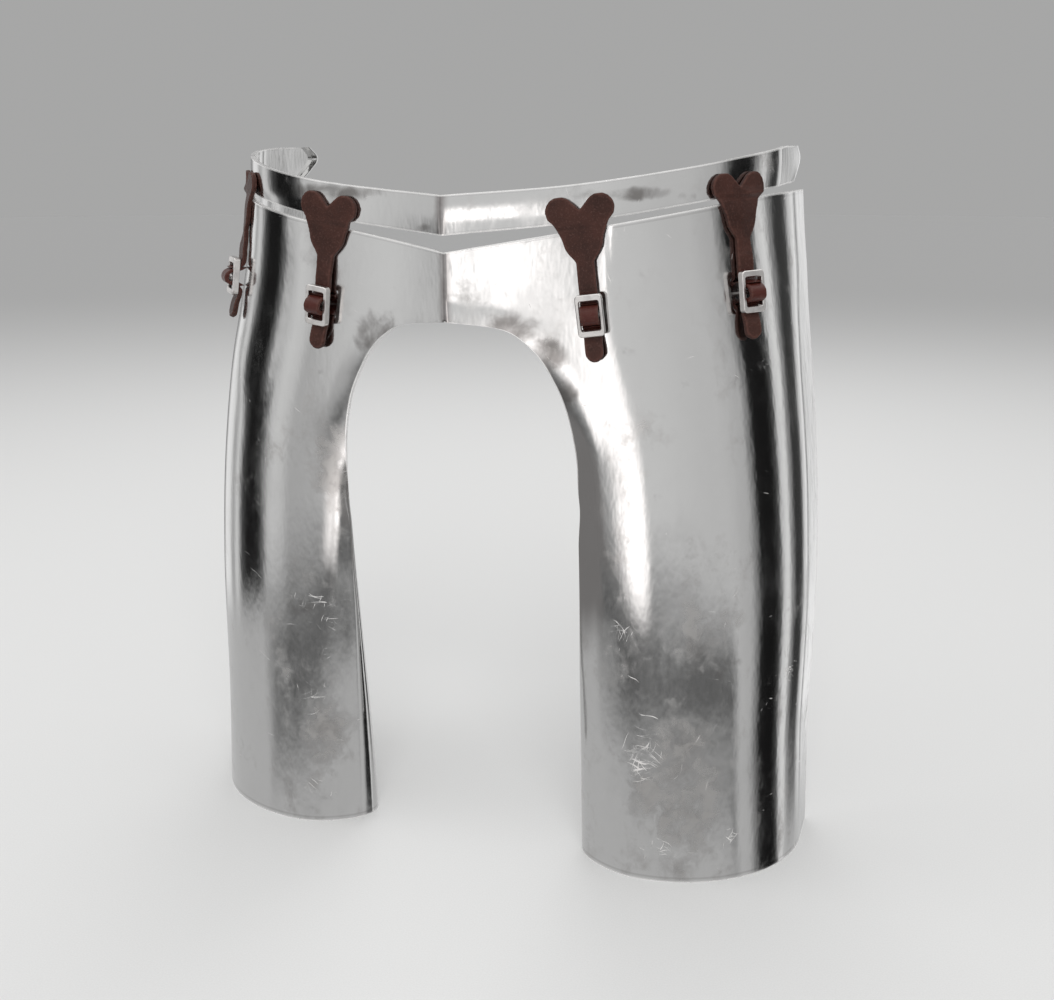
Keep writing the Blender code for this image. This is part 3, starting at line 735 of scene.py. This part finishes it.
def close_open_edges(work, index):
    """Joins the outer and inner face along every open edge."""
    twin = {}
    for (layer, *place), vert in index.items():
        twin.setdefault(tuple(place), {})[layer] = vert
    partner = {pair[0]: pair[1] for pair in twin.values()}
    for edge in [edge for edge in work.edges if edge.is_boundary]:
        start, end = edge.verts
        if start in partner and end in partner:
            work.faces.new((start, end, partner[end], partner[start]))


def roughen(work):
    """The slight unevenness that hammering and planishing leave in both faces alike."""
    for vert in work.verts:
        place = vert.co / MM
        rise = sum(wave.depth * noise.noise(place / wave.size) for wave in WAVES)
        outward = Vector((place.x, place.y - WAVES_MIDDLE_Y, 0.0)).normalized()
        vert.co += outward * rise * MM


def mark_rims(work, wear, rear_limit):
    """Marks the rims' wear and painted highlight: 1 on the rims, falling to 0 a little way in."""
    rim_points = []
    for edge in work.edges:
        if len(edge.link_faces) == 2 and edge.calc_face_angle(0.0) > RIM_ANGLE:
            rim_points.extend(edge.verts)
    rims = {vert for vert in rim_points if vert.co.y < rear_limit}
    for vert in rims:
        vert[wear] = 1.0
    for vert in rims:
        for edge in vert.link_edges:
            other = edge.other_vert(vert)
            if other not in rims:
                length = edge.calc_length() / MM
                vert_wear = clamp(1 - length / RIM_WEAR_AND_HIGHLIGHT_REACH, 0.0, 1.0)
                other[wear] = max(other[wear], vert_wear)


def finish_steel(name, mesh):
    obj = add_object(name, mesh)
    add_bevel(obj, RIM_ROUND, RIM_ANGLE)
    mesh.shade_smooth()
    return obj


def mirrored(shown):
    """The light that a steel mirror shows at this brightness."""
    return shown**DISPLAY_POWER / STEEL_COLOUR[0]


class Nodes:
    """Short calls for building one node tree."""

    def __init__(self, tree):
        self.tree = tree

    def add(self, kind, **settings):
        node = self.tree.nodes.new(kind)
        for name, value in settings.items():
            setattr(node, name, value)
        return node

    def link(self, output, target):
        self.tree.links.new(output, target)

    def feed(self, target, value):
        if isinstance(value, bpy.types.NodeSocket):
            self.link(value, target)
        else:
            target.default_value = value

    def math(self, operation, *values):
        node = self.add("ShaderNodeMath", operation=operation)
        for target, value in zip(node.inputs, values):
            self.feed(target, value)
        return node.outputs[0]

    def times(self, value, factor):
        return self.math("MULTIPLY", value, factor)

    def onto(self, value, factor, base):
        """The value times a factor, added onto the base."""
        return self.math("MULTIPLY_ADD", value, factor, base)

    def vector(self, operation, *values):
        """The result of a vector operation: a number for LENGTH, otherwise a vector."""
        node = self.add("ShaderNodeVectorMath", operation=operation)
        for target, value in zip(node.inputs, values):
            self.feed(target, value)
        return node.outputs["Value" if operation == "LENGTH" else "Vector"]

    def parts(self, vector):
        """The vector's x, y and z."""
        node = self.add("ShaderNodeSeparateXYZ")
        self.link(vector, node.inputs["Vector"])
        return tuple(node.outputs)

    def span(self, value, low, high, to_low=0.0, to_high=1.0, smooth=True):
        """The value's place between low and high, as a number from to_low to to_high."""
        kind = "SMOOTHSTEP" if smooth else "LINEAR"
        node = self.add("ShaderNodeMapRange", interpolation_type=kind)
        names = ("Value", "From Min", "From Max", "To Min", "To Max")
        for name, number in zip(names, (value, low, high, to_low, to_high)):
            self.feed(node.inputs[name], number)
        return node.outputs["Result"]

    def between(self, value, start, full, last, gone):
        """1 from full to last, falling to 0 at start and at gone."""
        return self.times(self.span(value, start, full), self.span(value, gone, last))

    def mapping(self, vector, stretch=(1, 1, 1), turn=(0, 0, 0), shift=(0, 0, 0)):
        """The vector stretched, then turned about the three axes in degrees, then shifted."""
        node = self.add("ShaderNodeMapping")
        self.link(vector, node.inputs["Vector"])
        node.inputs["Location"].default_value = shift
        node.inputs["Rotation"].default_value = [math.radians(angle) for angle in turn]
        node.inputs["Scale"].default_value = stretch
        return node.outputs["Vector"]

    def place(self, **changes):
        """The place on the object in metres, stretched, turned or shifted."""
        return self.mapping(self.add("ShaderNodeTexCoord").outputs["Object"], **changes)

    def noise(self, grain, vector=None, output="Fac"):
        """A noise of this grain, by the place on the object unless a vector is given."""
        node = self.add("ShaderNodeTexNoise")
        vector = vector or self.place(stretch=grain.stretch, shift=grain.shift)
        self.link(vector, node.inputs["Vector"])
        node.inputs["Scale"].default_value = grain.scale
        node.inputs["Detail"].default_value = grain.detail
        node.inputs["Roughness"].default_value = grain.rough
        node.inputs["Distortion"].default_value = grain.twist
        return node.outputs[output]

    def mix(self, factor, low, high):
        node = self.add("ShaderNodeMix", data_type="RGBA")
        self.feed(node.inputs["Factor"], factor)
        for name, colour in (("A", low), ("B", high)):
            target = next(s for s in node.inputs if s.name == name and s.type == "RGBA")
            if not isinstance(colour, bpy.types.NodeSocket):
                colour = (*colour, 1.0)
            self.feed(target, colour)
        return next(s for s in node.outputs if s.type == "RGBA")

    def bump(self, shader, height, strength, depth):
        """Gives the shader a fine relief this deep, in millimetres."""
        node = self.add("ShaderNodeBump")
        node.inputs["Strength"].default_value = strength
        node.inputs["Distance"].default_value = depth * MM
        self.link(height, node.inputs["Height"])
        self.link(node.outputs["Normal"], shader.inputs["Normal"])


def new_material(name):
    material = bpy.data.materials.new(name)
    material.use_nodes = True
    nodes = Nodes(material.node_tree)
    return material, nodes, material.node_tree.nodes["Principled BSDF"]


def fibres(nodes, scratch):
    """A noise drawn out along one turned direction. Its peaks are thin scratches."""
    drift = nodes.noise(SCRATCH_BENDS, output="Color")
    bent = nodes.vector("MULTIPLY_ADD", drift, (SCRATCH_DRIFT,) * 3, nodes.place())
    turned = nodes.mapping(bent, turn=scratch.turn)
    sizes = (scratch.length, SCRATCH_DEPTH, scratch.width)
    drawn = nodes.mapping(turned, stretch=[1 / (size * MM) for size in sizes])
    return nodes.noise(FIBRES, drawn)


def worn_places(nodes, scuffs):
    """Each place's strength at its middle, falling to 0 at its reach."""
    total = 0.0
    for scuff in scuffs:
        middle = (scuff.x * MM, scuff.y * MM, scuff.z * MM)
        across, up = 1 / (scuff.across * MM), 1 / (scuff.up * MM)
        off_middle = nodes.vector("SUBTRACT", nodes.place(), middle)
        shares = nodes.vector("MULTIPLY", off_middle, (across, across * SCUFF_FLATNESS, up))
        reach = nodes.vector("LENGTH", shares)
        near = nodes.span(reach, 1.0, SCUFF_FULL, 0.0, scuff.strength)
        total = nodes.math("MAXIMUM", near, total)
    return total


def dull_steel(nodes, low_down):
    """The clouds and flakes of the dull places, and how dull the steel is."""
    clouds = nodes.noise(DULL_CLOUDS)
    flakes = nodes.noise(DULL_FLAKES)
    mottle = nodes.onto(flakes, 0.5, clouds)
    placed = worn_places(nodes, DULL_PLACES)
    reach = nodes.onto(placed, 0.25, nodes.times(low_down, 0.05))
    dull = nodes.span(nodes.math("ADD", mottle, reach), *DULL_LEVELS)
    return clouds, flakes, dull


def stained_and_shaded_steel(nodes):
    blots = nodes.noise(STAIN_AND_SHADE_BLOTS)
    level = nodes.onto(worn_places(nodes, STAINS_AND_PAINTED_SHADE), 0.40, blots)
    return nodes.span(level, *STAIN_AND_SHADE_LEVELS)


def ridge_painted_shade(nodes, x, y, z, clouds):
    """Painted shade along the ridge of the belly, above the arch and in front: a dark reflection
    painted into the colour.
    """
    off_ridge = nodes.math("ABSOLUTE", x)
    uneven = nodes.span(clouds, *RIDGE_SHADE_LEVELS)
    # Painted shade: a dark reflection beside the ridge, painted into the colour
    ridge = nodes.times(nodes.span(off_ridge, RIDGE_SHADE_REACH * MM, 0.0), uneven)
    above_arch = nodes.span(z, *RIDGE_SHADE_ABOVE)
    in_front = nodes.span(y, *RIDGE_SHADE_IN_FRONT)
    return nodes.times(nodes.times(ridge, above_arch), in_front)


def scratched_steel(nodes, low_down):
    """Scratches, thick where the steel was scuffed and few elsewhere."""
    every = 0.0
    for scratch in SCRATCHES:
        every = nodes.math("MAXIMUM", fibres(nodes, scratch), every)
    patchy = nodes.noise(SCRATCH_PATCHES)
    lower = nodes.onto(low_down, 0.05, patchy)
    few = nodes.span(lower, *FEW_SCRATCHES)
    level = nodes.math("MAXIMUM", worn_places(nodes, SCUFFS), few)
    peaks = nodes.onto(level, SCRATCH_CROWDING, every)
    marks = nodes.span(peaks, SCRATCH_LEVEL, SCRATCH_LEVEL + SCRATCH_EDGE)
    faint = nodes.noise(SCRATCH_BREAKS)
    return nodes.times(marks, nodes.span(faint, *FAINT_SCRATCHES))


def steel_material():
    material, nodes, shader = new_material("polished_steel")
    x, y, z = nodes.parts(nodes.place())
    low_down = nodes.span(z, *LOW_DOWN)
    clouds, flakes, dull = dull_steel(nodes, low_down)
    stains_and_shade = stained_and_shaded_steel(nodes)
    ridge = ridge_painted_shade(nodes, x, y, z, clouds)
    marks = scratched_steel(nodes, low_down)

    # Rims that wore bare, with a painted highlight along them, and darker just inside them
    wear = nodes.add("ShaderNodeAttribute", attribute_name="rim_wear_and_highlight").outputs["Fac"]
    chipped = nodes.span(nodes.noise(RIM_CHIPS), *CHIP_LEVELS)
    # The rims' wear, and a painted highlight along them
    rim = nodes.times(nodes.span(wear, *RIM_LEVELS), chipped)
    # Darker just inside the rims
    inner_rim_dark = nodes.between(wear, *INNER_RIM_DARK_LEVELS)

    # Colour
    dull_tone = nodes.mix(nodes.span(flakes, 0.38, 0.62), DULL_DARK, DULL_LIGHT)
    base = nodes.mix(dull, STEEL_COLOUR, dull_tone)
    fine_tone = nodes.span(nodes.noise(STEEL_TONES), 0.30, 0.70)
    base = nodes.mix(nodes.times(fine_tone, TONE_SHARE), base, SMEAR_COLOUR)
    # Stains, and painted shade on the band
    base = nodes.mix(nodes.times(stains_and_shade, STAIN_AND_SHADE_SHARE), base, STAIN_AND_SHADE_COLOUR)
    # Painted shade along the ridge, standing in for a dark reflection
    base = nodes.mix(ridge, base, RIDGE_SHADE_COLOUR)
    base = nodes.mix(nodes.times(inner_rim_dark, INNER_RIM_DARK_SHARE), base, INNER_RIM_DARK_COLOUR)
    # Painted highlight on the rims, with their wear
    base = nodes.mix(rim, base, RIM_WEAR_AND_HIGHLIGHT_COLOUR)
    base = nodes.mix(marks, base, SCRATCH_COLOUR)
    nodes.link(base, shader.inputs["Base Color"])
    bright = nodes.math("MAXIMUM", marks, nodes.times(rim, RIM_SHARE))
    nodes.link(nodes.onto(bright, -BARE_LOSS, 1.0), shader.inputs["Metallic"])

    # Roughness
    rough = nodes.onto(nodes.noise(STEEL_GRAIN), GRAIN_ROUGH, POLISHED)
    rough = nodes.math("ADD", rough, nodes.span(nodes.noise(STEEL_SMEARS), *SMEAR_LEVELS))
    rough = nodes.onto(dull, DULL_ROUGH, rough)
    rough = nodes.onto(stains_and_shade, STAIN_AND_SHADE_ROUGH, rough)
    rough = nodes.onto(bright, BARE_ROUGH, rough)
    nodes.link(rough, shader.inputs["Roughness"])

    # Fine unevenness that frays the edges of what it mirrors
    relief = nodes.onto(nodes.noise(STEEL_RIPPLE), 1.1, nodes.noise(STEEL_FRAY))
    relief = nodes.onto(nodes.times(flakes, dull), 0.5, relief)
    relief = nodes.onto(marks, -0.6, relief)
    nodes.bump(shader, relief, strength=1.0, depth=0.05)
    return material


def leather_material():
    material, nodes, shader = new_material("strap_leather")
    patches = nodes.noise(LEATHER_PATCHES)
    pores = nodes.add("ShaderNodeTexVoronoi", feature="F1")
    nodes.link(nodes.place(), pores.inputs["Vector"])
    pores.inputs["Scale"].default_value = LEATHER_PORES
    fine = nodes.noise(LEATHER_FINE)
    wrinkles = nodes.noise(LEATHER_WRINKLES)
    wear = nodes.add("ShaderNodeAttribute", attribute_name="edge_wear").outputs["Fac"]
    flex = nodes.add("ShaderNodeAttribute", attribute_name="flex").outputs["Fac"]
    tone = nodes.span(patches, 0.3, 0.7)
    base = nodes.mix(tone, LEATHER_DARK, LEATHER_LIGHT)
    base = nodes.mix(nodes.times(flex, 0.9), base, LEATHER_BENT)
    base = nodes.mix(nodes.span(fine, 0.50, 0.76, 0.0, 0.5), base, LEATHER_SPECK)
    frayed = nodes.times(wear, nodes.span(wrinkles, 0.35, 0.65, 0.25, 0.75))
    base = nodes.mix(frayed, base, LEATHER_EDGE)
    nodes.link(base, shader.inputs["Base Color"])
    rough = nodes.onto(patches, 0.20, 0.34)
    rough = nodes.onto(flex, -0.10, rough)
    nodes.link(rough, shader.inputs["Roughness"])
    shader.inputs["Specular IOR Level"].default_value = 0.27
    relief = nodes.onto(fine, 0.45, pores.outputs["Distance"])
    relief = nodes.onto(wrinkles, 0.9, relief)
    nodes.bump(shader, relief, strength=0.8, depth=0.20)
    return material


def buckle_material():
    material, nodes, shader = new_material("buckle_satin_steel")
    clouds = nodes.noise(BUCKLE_CLOUDS)
    brushed = nodes.noise(BUCKLE_BRUSHING)
    base = nodes.mix(nodes.span(clouds, 0.35, 0.7), BUCKLE_LIGHT, BUCKLE_DARK)
    nodes.link(base, shader.inputs["Base Color"])
    shader.inputs["Metallic"].default_value = 1.0
    rough = nodes.onto(clouds, 0.14, 0.20)
    rough = nodes.onto(brushed, 0.08, rough)
    nodes.link(rough, shader.inputs["Roughness"])
    nodes.bump(shader, brushed, strength=0.5, depth=0.03)
    return material


def node_copy(node, name):
    """A copy of a CAD node's mesh with its points joined, as a new object."""
    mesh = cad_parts[node].data.copy()
    mesh.name = name
    mesh.materials.clear()
    work = bmesh.new()
    work.from_mesh(mesh)
    bmesh.ops.remove_doubles(work, verts=work.verts, dist=JOIN_REACH)
    bmesh.ops.dissolve_limit(work, angle_limit=FLAT_ANGLE, verts=work.verts, edges=work.edges)
    for layer in list(work.loops.layers.uv):
        work.loops.layers.uv.remove(layer)
    work.to_mesh(mesh)
    work.free()
    normals = mesh.attributes.get("custom_normal")
    if normals:
        mesh.attributes.remove(normals)
    return add_object(name, mesh)


def dressed(obj, node, material):
    """Gives a piece its material and its body, and hides the node it stands for."""
    obj.data.materials.clear()
    obj.data.materials.append(material)
    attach(obj, "root")
    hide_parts(node)


def evaluated_mesh(obj, name):
    """Applies an object's modifiers and gives it the finished mesh."""
    graph = bpy.context.evaluated_depsgraph_get()
    mesh = bpy.data.meshes.new_from_object(obj.evaluated_get(graph))
    mesh.name = name
    obj.modifiers.clear()
    obj.data = mesh
    return mesh


def strap_axes(pair, side):
    """The strap's downward and outward directions."""
    facing = math.radians(FACING[pair])
    lean = math.radians(LEAN[pair])
    across = math.sin(lean)
    down = Vector((math.cos(facing) * across, math.sin(facing) * across, -math.cos(lean)))
    out = Vector((math.sin(facing), -math.cos(facing), 0.0))
    mirror = Vector((side, 1.0, 1.0))
    return down * mirror, out * mirror


def ease_bends(mesh, pair, side, buckle_centre):
    """Slides the leather in and out so that it bends softly along its length."""
    down, out = strap_axes(pair, side)
    downs = [vert.co.dot(down) for vert in mesh.vertices]
    start = min(downs)
    count = int((max(downs) - start) / EASE_BIN) + 1
    face = [None] * count
    for vert, place in zip(mesh.vertices, downs):
        if vert.normal.dot(out) > FACES_OUT:
            index = int((place - start) / EASE_BIN)
            level = vert.co.dot(out)
            face[index] = level if face[index] is None else max(face[index], level)
    known = [index for index, level in enumerate(face) if level is not None]
    levels = []
    for index in range(count):
        nearest = min(known, key=lambda other: abs(other - index))
        levels.append(face[nearest])
    middle = (buckle_centre.dot(down) - start) / EASE_BIN
    shifts = []
    for index in range(count):
        off_middle = abs(index - middle) * EASE_BIN
        plain = smooth_step((off_middle - HUMP_REACH) / HUMP_REACH)
        reach = mix(EASE_HUMP, EASE_PLAIN, plain) / EASE_BIN
        span = int(3 * reach)
        total = weight = 0.0
        for other in range(index - span, index + span + 1):
            share = math.exp(-(((other - index) / reach) ** 2) / 2)
            total += share * levels[clamp(other, 0, count - 1)]
            weight += share
        swell = HUMP_SWELL * smooth_step(1 - off_middle / (HUMP_REACH * SWELL_SHARE))
        shifts.append(total / weight - levels[index] + swell)
    for vert, place in zip(mesh.vertices, downs):
        exact = (place - start) / EASE_BIN - 0.5
        low = clamp(int(exact), 0, count - 2)
        shift = mix(shifts[low], shifts[low + 1], clamp(exact - low, 0.0, 1.0))
        vert.co += out * shift


def build_strap(node, buckle):
    """The strap with edges rounded by wear, and marks for its worn edges and its bend."""
    obj = node_copy(node, node + "_leather")
    remesh = obj.modifiers.new("rounded", "REMESH")
    remesh.mode = "VOXEL"
    remesh.voxel_size = STRAP_VOXEL
    smooth = obj.modifiers.new("softened", "SMOOTH")
    smooth.factor = STRAP_SMOOTH_SHARE
    smooth.iterations = STRAP_SMOOTHING
    mesh = evaluated_mesh(obj, node + "_leather")
    low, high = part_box(buckle)
    centre = (low + high) / 2
    pair, _, side = node.split("_")
    ease_bends(mesh, pair, 1 if side == "left" else -1, centre)
    mark_leather(mesh, centre)
    mesh.shade_smooth()
    return obj


def mark_leather(mesh, buckle_centre):
    work = bmesh.new()
    work.from_mesh(mesh)
    wear = work.verts.layers.float.new("edge_wear")
    flex = work.verts.layers.float.new("flex")
    work.normal_update()
    bent = {}
    for vert in work.verts:
        turns = [vert.normal.angle(edge.other_vert(vert).normal, 0.0) for edge in vert.link_edges]
        bent[vert] = max(turns) if turns else 0.0
    for vert in work.verts:
        beside = [bent[edge.other_vert(vert)] for edge in vert.link_edges]
        level = (bent[vert] + sum(beside)) / (1 + len(beside))
        vert[wear] = clamp(level / EDGE_WEAR_ANGLE, 0.0, 1.0)
        distance = (vert.co - buckle_centre).length
        vert[flex] = smooth_step(FLEX_END - distance / FLEX_REACH)
    work.to_mesh(mesh)
    work.free()


def build_buckle(node):
    obj = node_copy(node, node + "_frame")
    add_bevel(obj, BUCKLE_ROUND, BUCKLE_EDGE_ANGLE)
    obj.data.shade_smooth()
    obj.modifiers.new("flat_faces", "WEIGHTED_NORMAL")
    return obj


def panel_ring(nodes, degrees):
    """The light of the panels and gaps at each turn round the armour."""
    ring = nodes.add("ShaderNodeValToRGB")
    nodes.link(nodes.onto(degrees, 1 / 360, 0.5), ring.inputs["Fac"])
    ring.color_ramp.interpolation = "EASE"
    stops = ring.color_ramp.elements
    stops.remove(stops[1])
    for index, panel in enumerate(PANELS):
        place = panel.turn / 360 + 0.5
        stop = stops[0] if index == 0 else stops.new(place)
        stop.position = place
        light = mirrored(panel.shown)
        stop.color = (light, light, light, 1.0)
    return ring.outputs["Color"]


def mirrored_surroundings(nodes, degrees, rise):
    """What the steel mirrors, by the turn round the armour and the rise in degrees."""
    at_gap = nodes.times(nodes.between(degrees, *GAP_TURN), nodes.span(rise, *GAP_RISE))
    panels = panel_ring(nodes, nodes.onto(at_gap, GAP_SHIFT, degrees))

    # Below eye level the panels grow dim and the floor begins, lower down on one side
    on_left = nodes.between(degrees, *LOW_PANELS)
    lowered = nodes.onto(on_left, LOW_PANEL_DROP, rise)
    dim = nodes.span(lowered, DIM_FROM, DIM_TO, 1.0, DIM_SHARE)
    sides = nodes.span(nodes.math("ABSOLUTE", degrees), *LOW_PANELS[:2])
    dimmed = nodes.vector("MULTIPLY", panels, nodes.math("MAXIMUM", dim, sides))
    on_right = nodes.span(degrees, *HIGH_FLOOR_TURN)
    high_floor = nodes.times(on_right, nodes.span(rise, *HIGH_FLOOR_RISE))
    floor = nodes.math("MAXIMUM", nodes.span(lowered, FLOOR_FROM, FLOOR_TO), high_floor)
    reflected = nodes.mix(floor, dimmed, (mirrored(FLOOR_SHOWN),) * 3)

    # Above it they give way to one broad soft ceiling
    ceiling = nodes.span(rise, *CEILING_RISE)
    return nodes.mix(ceiling, reflected, (mirrored(CEILING_SHOWN),) * 3)


def build_world():
    """Pale surroundings. What the steel mirrors is a ring of lit panels and dark gaps."""
    world = bpy.data.worlds.new("studio")
    bpy.context.scene.world = world
    world.use_nodes = True
    world.node_tree.nodes.clear()
    nodes = Nodes(world.node_tree)
    x, y, z = nodes.parts(nodes.add("ShaderNodeTexCoord").outputs["Generated"])
    turn = nodes.math("ARCTAN2", x, nodes.times(y, -1.0))
    degrees = nodes.times(turn, 180 / math.pi)
    rise = nodes.times(nodes.math("ARCSINE", z), 180 / math.pi)
    reflected = mirrored_surroundings(nodes, degrees, rise)
    paths = nodes.add("ShaderNodeLightPath")
    seen = nodes.mix(paths.outputs["Is Camera Ray"], SOFT_LIGHT, BACKDROP)
    seen = nodes.mix(paths.outputs["Is Glossy Ray"], seen, reflected)
    light = nodes.add("ShaderNodeBackground")
    nodes.link(seen, light.inputs["Color"])
    output = nodes.add("ShaderNodeOutputWorld")
    nodes.link(light.outputs["Background"], output.inputs["Surface"])


def card_material(card):
    """A glow inside the card's four soft edges. Outside them it is clear."""
    material = bpy.data.materials.new(card.name)
    material.use_nodes = True
    material.node_tree.nodes.clear()
    nodes = Nodes(material.node_tree)
    x, _, z = nodes.parts(nodes.place(stretch=(1 / MM,) * 3))
    heights = (z, card.foot, card.head)
    left = nodes.span(*heights, card.left_foot, card.left_head, smooth=False)
    right = nodes.span(*heights, card.right_foot, card.right_head, smooth=False)
    lit = 1.0
    for inside, soft in (
        (nodes.math("SUBTRACT", x, left), card.soft_left),
        (nodes.math("SUBTRACT", right, x), card.soft_right),
        (nodes.math("SUBTRACT", z, card.foot), card.soft_foot),
        (nodes.math("SUBTRACT", card.head, z), card.soft_head),
    ):
        lit = nodes.times(nodes.span(inside, -soft, soft), lit)
    glow = nodes.add("ShaderNodeEmission")
    glow.inputs["Color"].default_value = (*CARD_TINT, 1.0)
    glow.inputs["Strength"].default_value = mirrored(card.shown)
    clear = nodes.add("ShaderNodeBsdfTransparent")
    blend = nodes.add("ShaderNodeMixShader")
    nodes.link(lit, blend.inputs["Fac"])
    nodes.link(clear.outputs["BSDF"], blend.inputs[1])
    nodes.link(glow.outputs["Emission"], blend.inputs[2])
    output = nodes.add("ShaderNodeOutputMaterial")
    nodes.link(blend.outputs["Shader"], output.inputs["Surface"])
    return material


def build_card(card):
    """A card that mirrors alone see, as wide and high as its soft edges reach."""
    left = min(card.left_foot, card.left_head) - card.soft_left
    right = max(card.right_foot, card.right_head) + card.soft_right
    foot, head = card.foot - card.soft_foot, card.head + card.soft_head
    work = bmesh.new()
    for x, z in ((left, foot), (right, foot), (right, head), (left, head)):
        work.verts.new(Vector((x, 0.0, z)) * MM)
    work.faces.new(work.verts)
    obj = add_object(card.name, mesh_from(work, card.name))
    obj.location = Vector((card.x, card.y, 0.0)) * MM
    obj.rotation_euler.z = math.radians(card.turn)
    obj.data.materials.append(card_material(card))
    obj.visible_camera = False
    obj.visible_diffuse = False
    obj.visible_shadow = False


def build_floor():
    work = bmesh.new()
    bmesh.ops.create_circle(work, cap_ends=True, segments=FLOOR_CORNERS, radius=FLOOR_RADIUS)
    floor = add_object("floor", mesh_from(work, "floor"))
    material, nodes, shader = new_material("pale_floor")
    speckle = nodes.span(nodes.noise(FLOOR_SPECKLE), 0.3, 0.7)
    colour = nodes.mix(speckle, FLOOR_DARK, FLOOR_LIGHT)
    far = nodes.span(nodes.vector("LENGTH", nodes.place()), *FLOOR_FADE)
    # Painted shade: the floor grows darker away from the armour
    colour = nodes.mix(far, colour, FAR_FLOOR_PAINTED_SHADE)
    nodes.link(colour, shader.inputs["Base Color"])
    shader.inputs["Roughness"].default_value = 0.9
    shader.inputs["Specular IOR Level"].default_value = 0.1
    floor.data.materials.append(material)
    floor.visible_glossy = False


def build_lamps():
    for lamp in LAMPS:
        data = bpy.data.lights.new(lamp.name, "AREA")
        data.shape = "DISK"
        data.size = lamp.size
        data.energy = lamp.power
        obj = add_object(lamp.name, data)
        obj.location = lamp.place
        direction = Vector(LAMP_AIM) - obj.location
        obj.rotation_euler = direction.to_track_quat("-Z", "Y").to_euler()
        obj.visible_glossy = False


def build_camera():
    data = bpy.data.cameras.new("camera")
    data.sensor_width = SENSOR_WIDTH
    data.lens = FOCAL_PIXELS / IMAGE_WIDTH * SENSOR_WIDTH
    camera = add_object("camera", data)
    camera.location = CAMERA_PLACE
    camera.rotation_euler = (CAMERA_PITCH, 0.0, CAMERA_YAW)
    bpy.context.scene.camera = camera


def main():
    bpy.context.scene.view_settings.view_transform = "Standard"
    build_camera()
    build_world()
    build_lamps()
    build_floor()
    for card in CARDS:
        build_card(card)
    shift_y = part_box("thigh_plate")[0].y / MM - (FRONT_Y - RIDGE_OUT)
    steel = steel_material()
    leather = leather_material()
    satin = buckle_material()
    plate = steel_sheet("thigh_plate_steel", plate_rows(), shift_y, rolled=True)
    dressed(plate, "thigh_plate", steel)
    band = steel_sheet("waist_band_steel", band_rows(), shift_y, worn_and_highlit_to_y=BAND_WORN_AND_HIGHLIT_TO_Y)
    dressed(band, "waist_band", steel)
    for pair in ("front", "side"):
        for side in ("left", "right"):
            strap, buckle = f"{pair}_strap_{side}", f"{pair}_buckle_{side}"
            dressed(build_strap(strap, buckle), strap, leather)
            dressed(build_buckle(buckle), buckle, satin)


main()
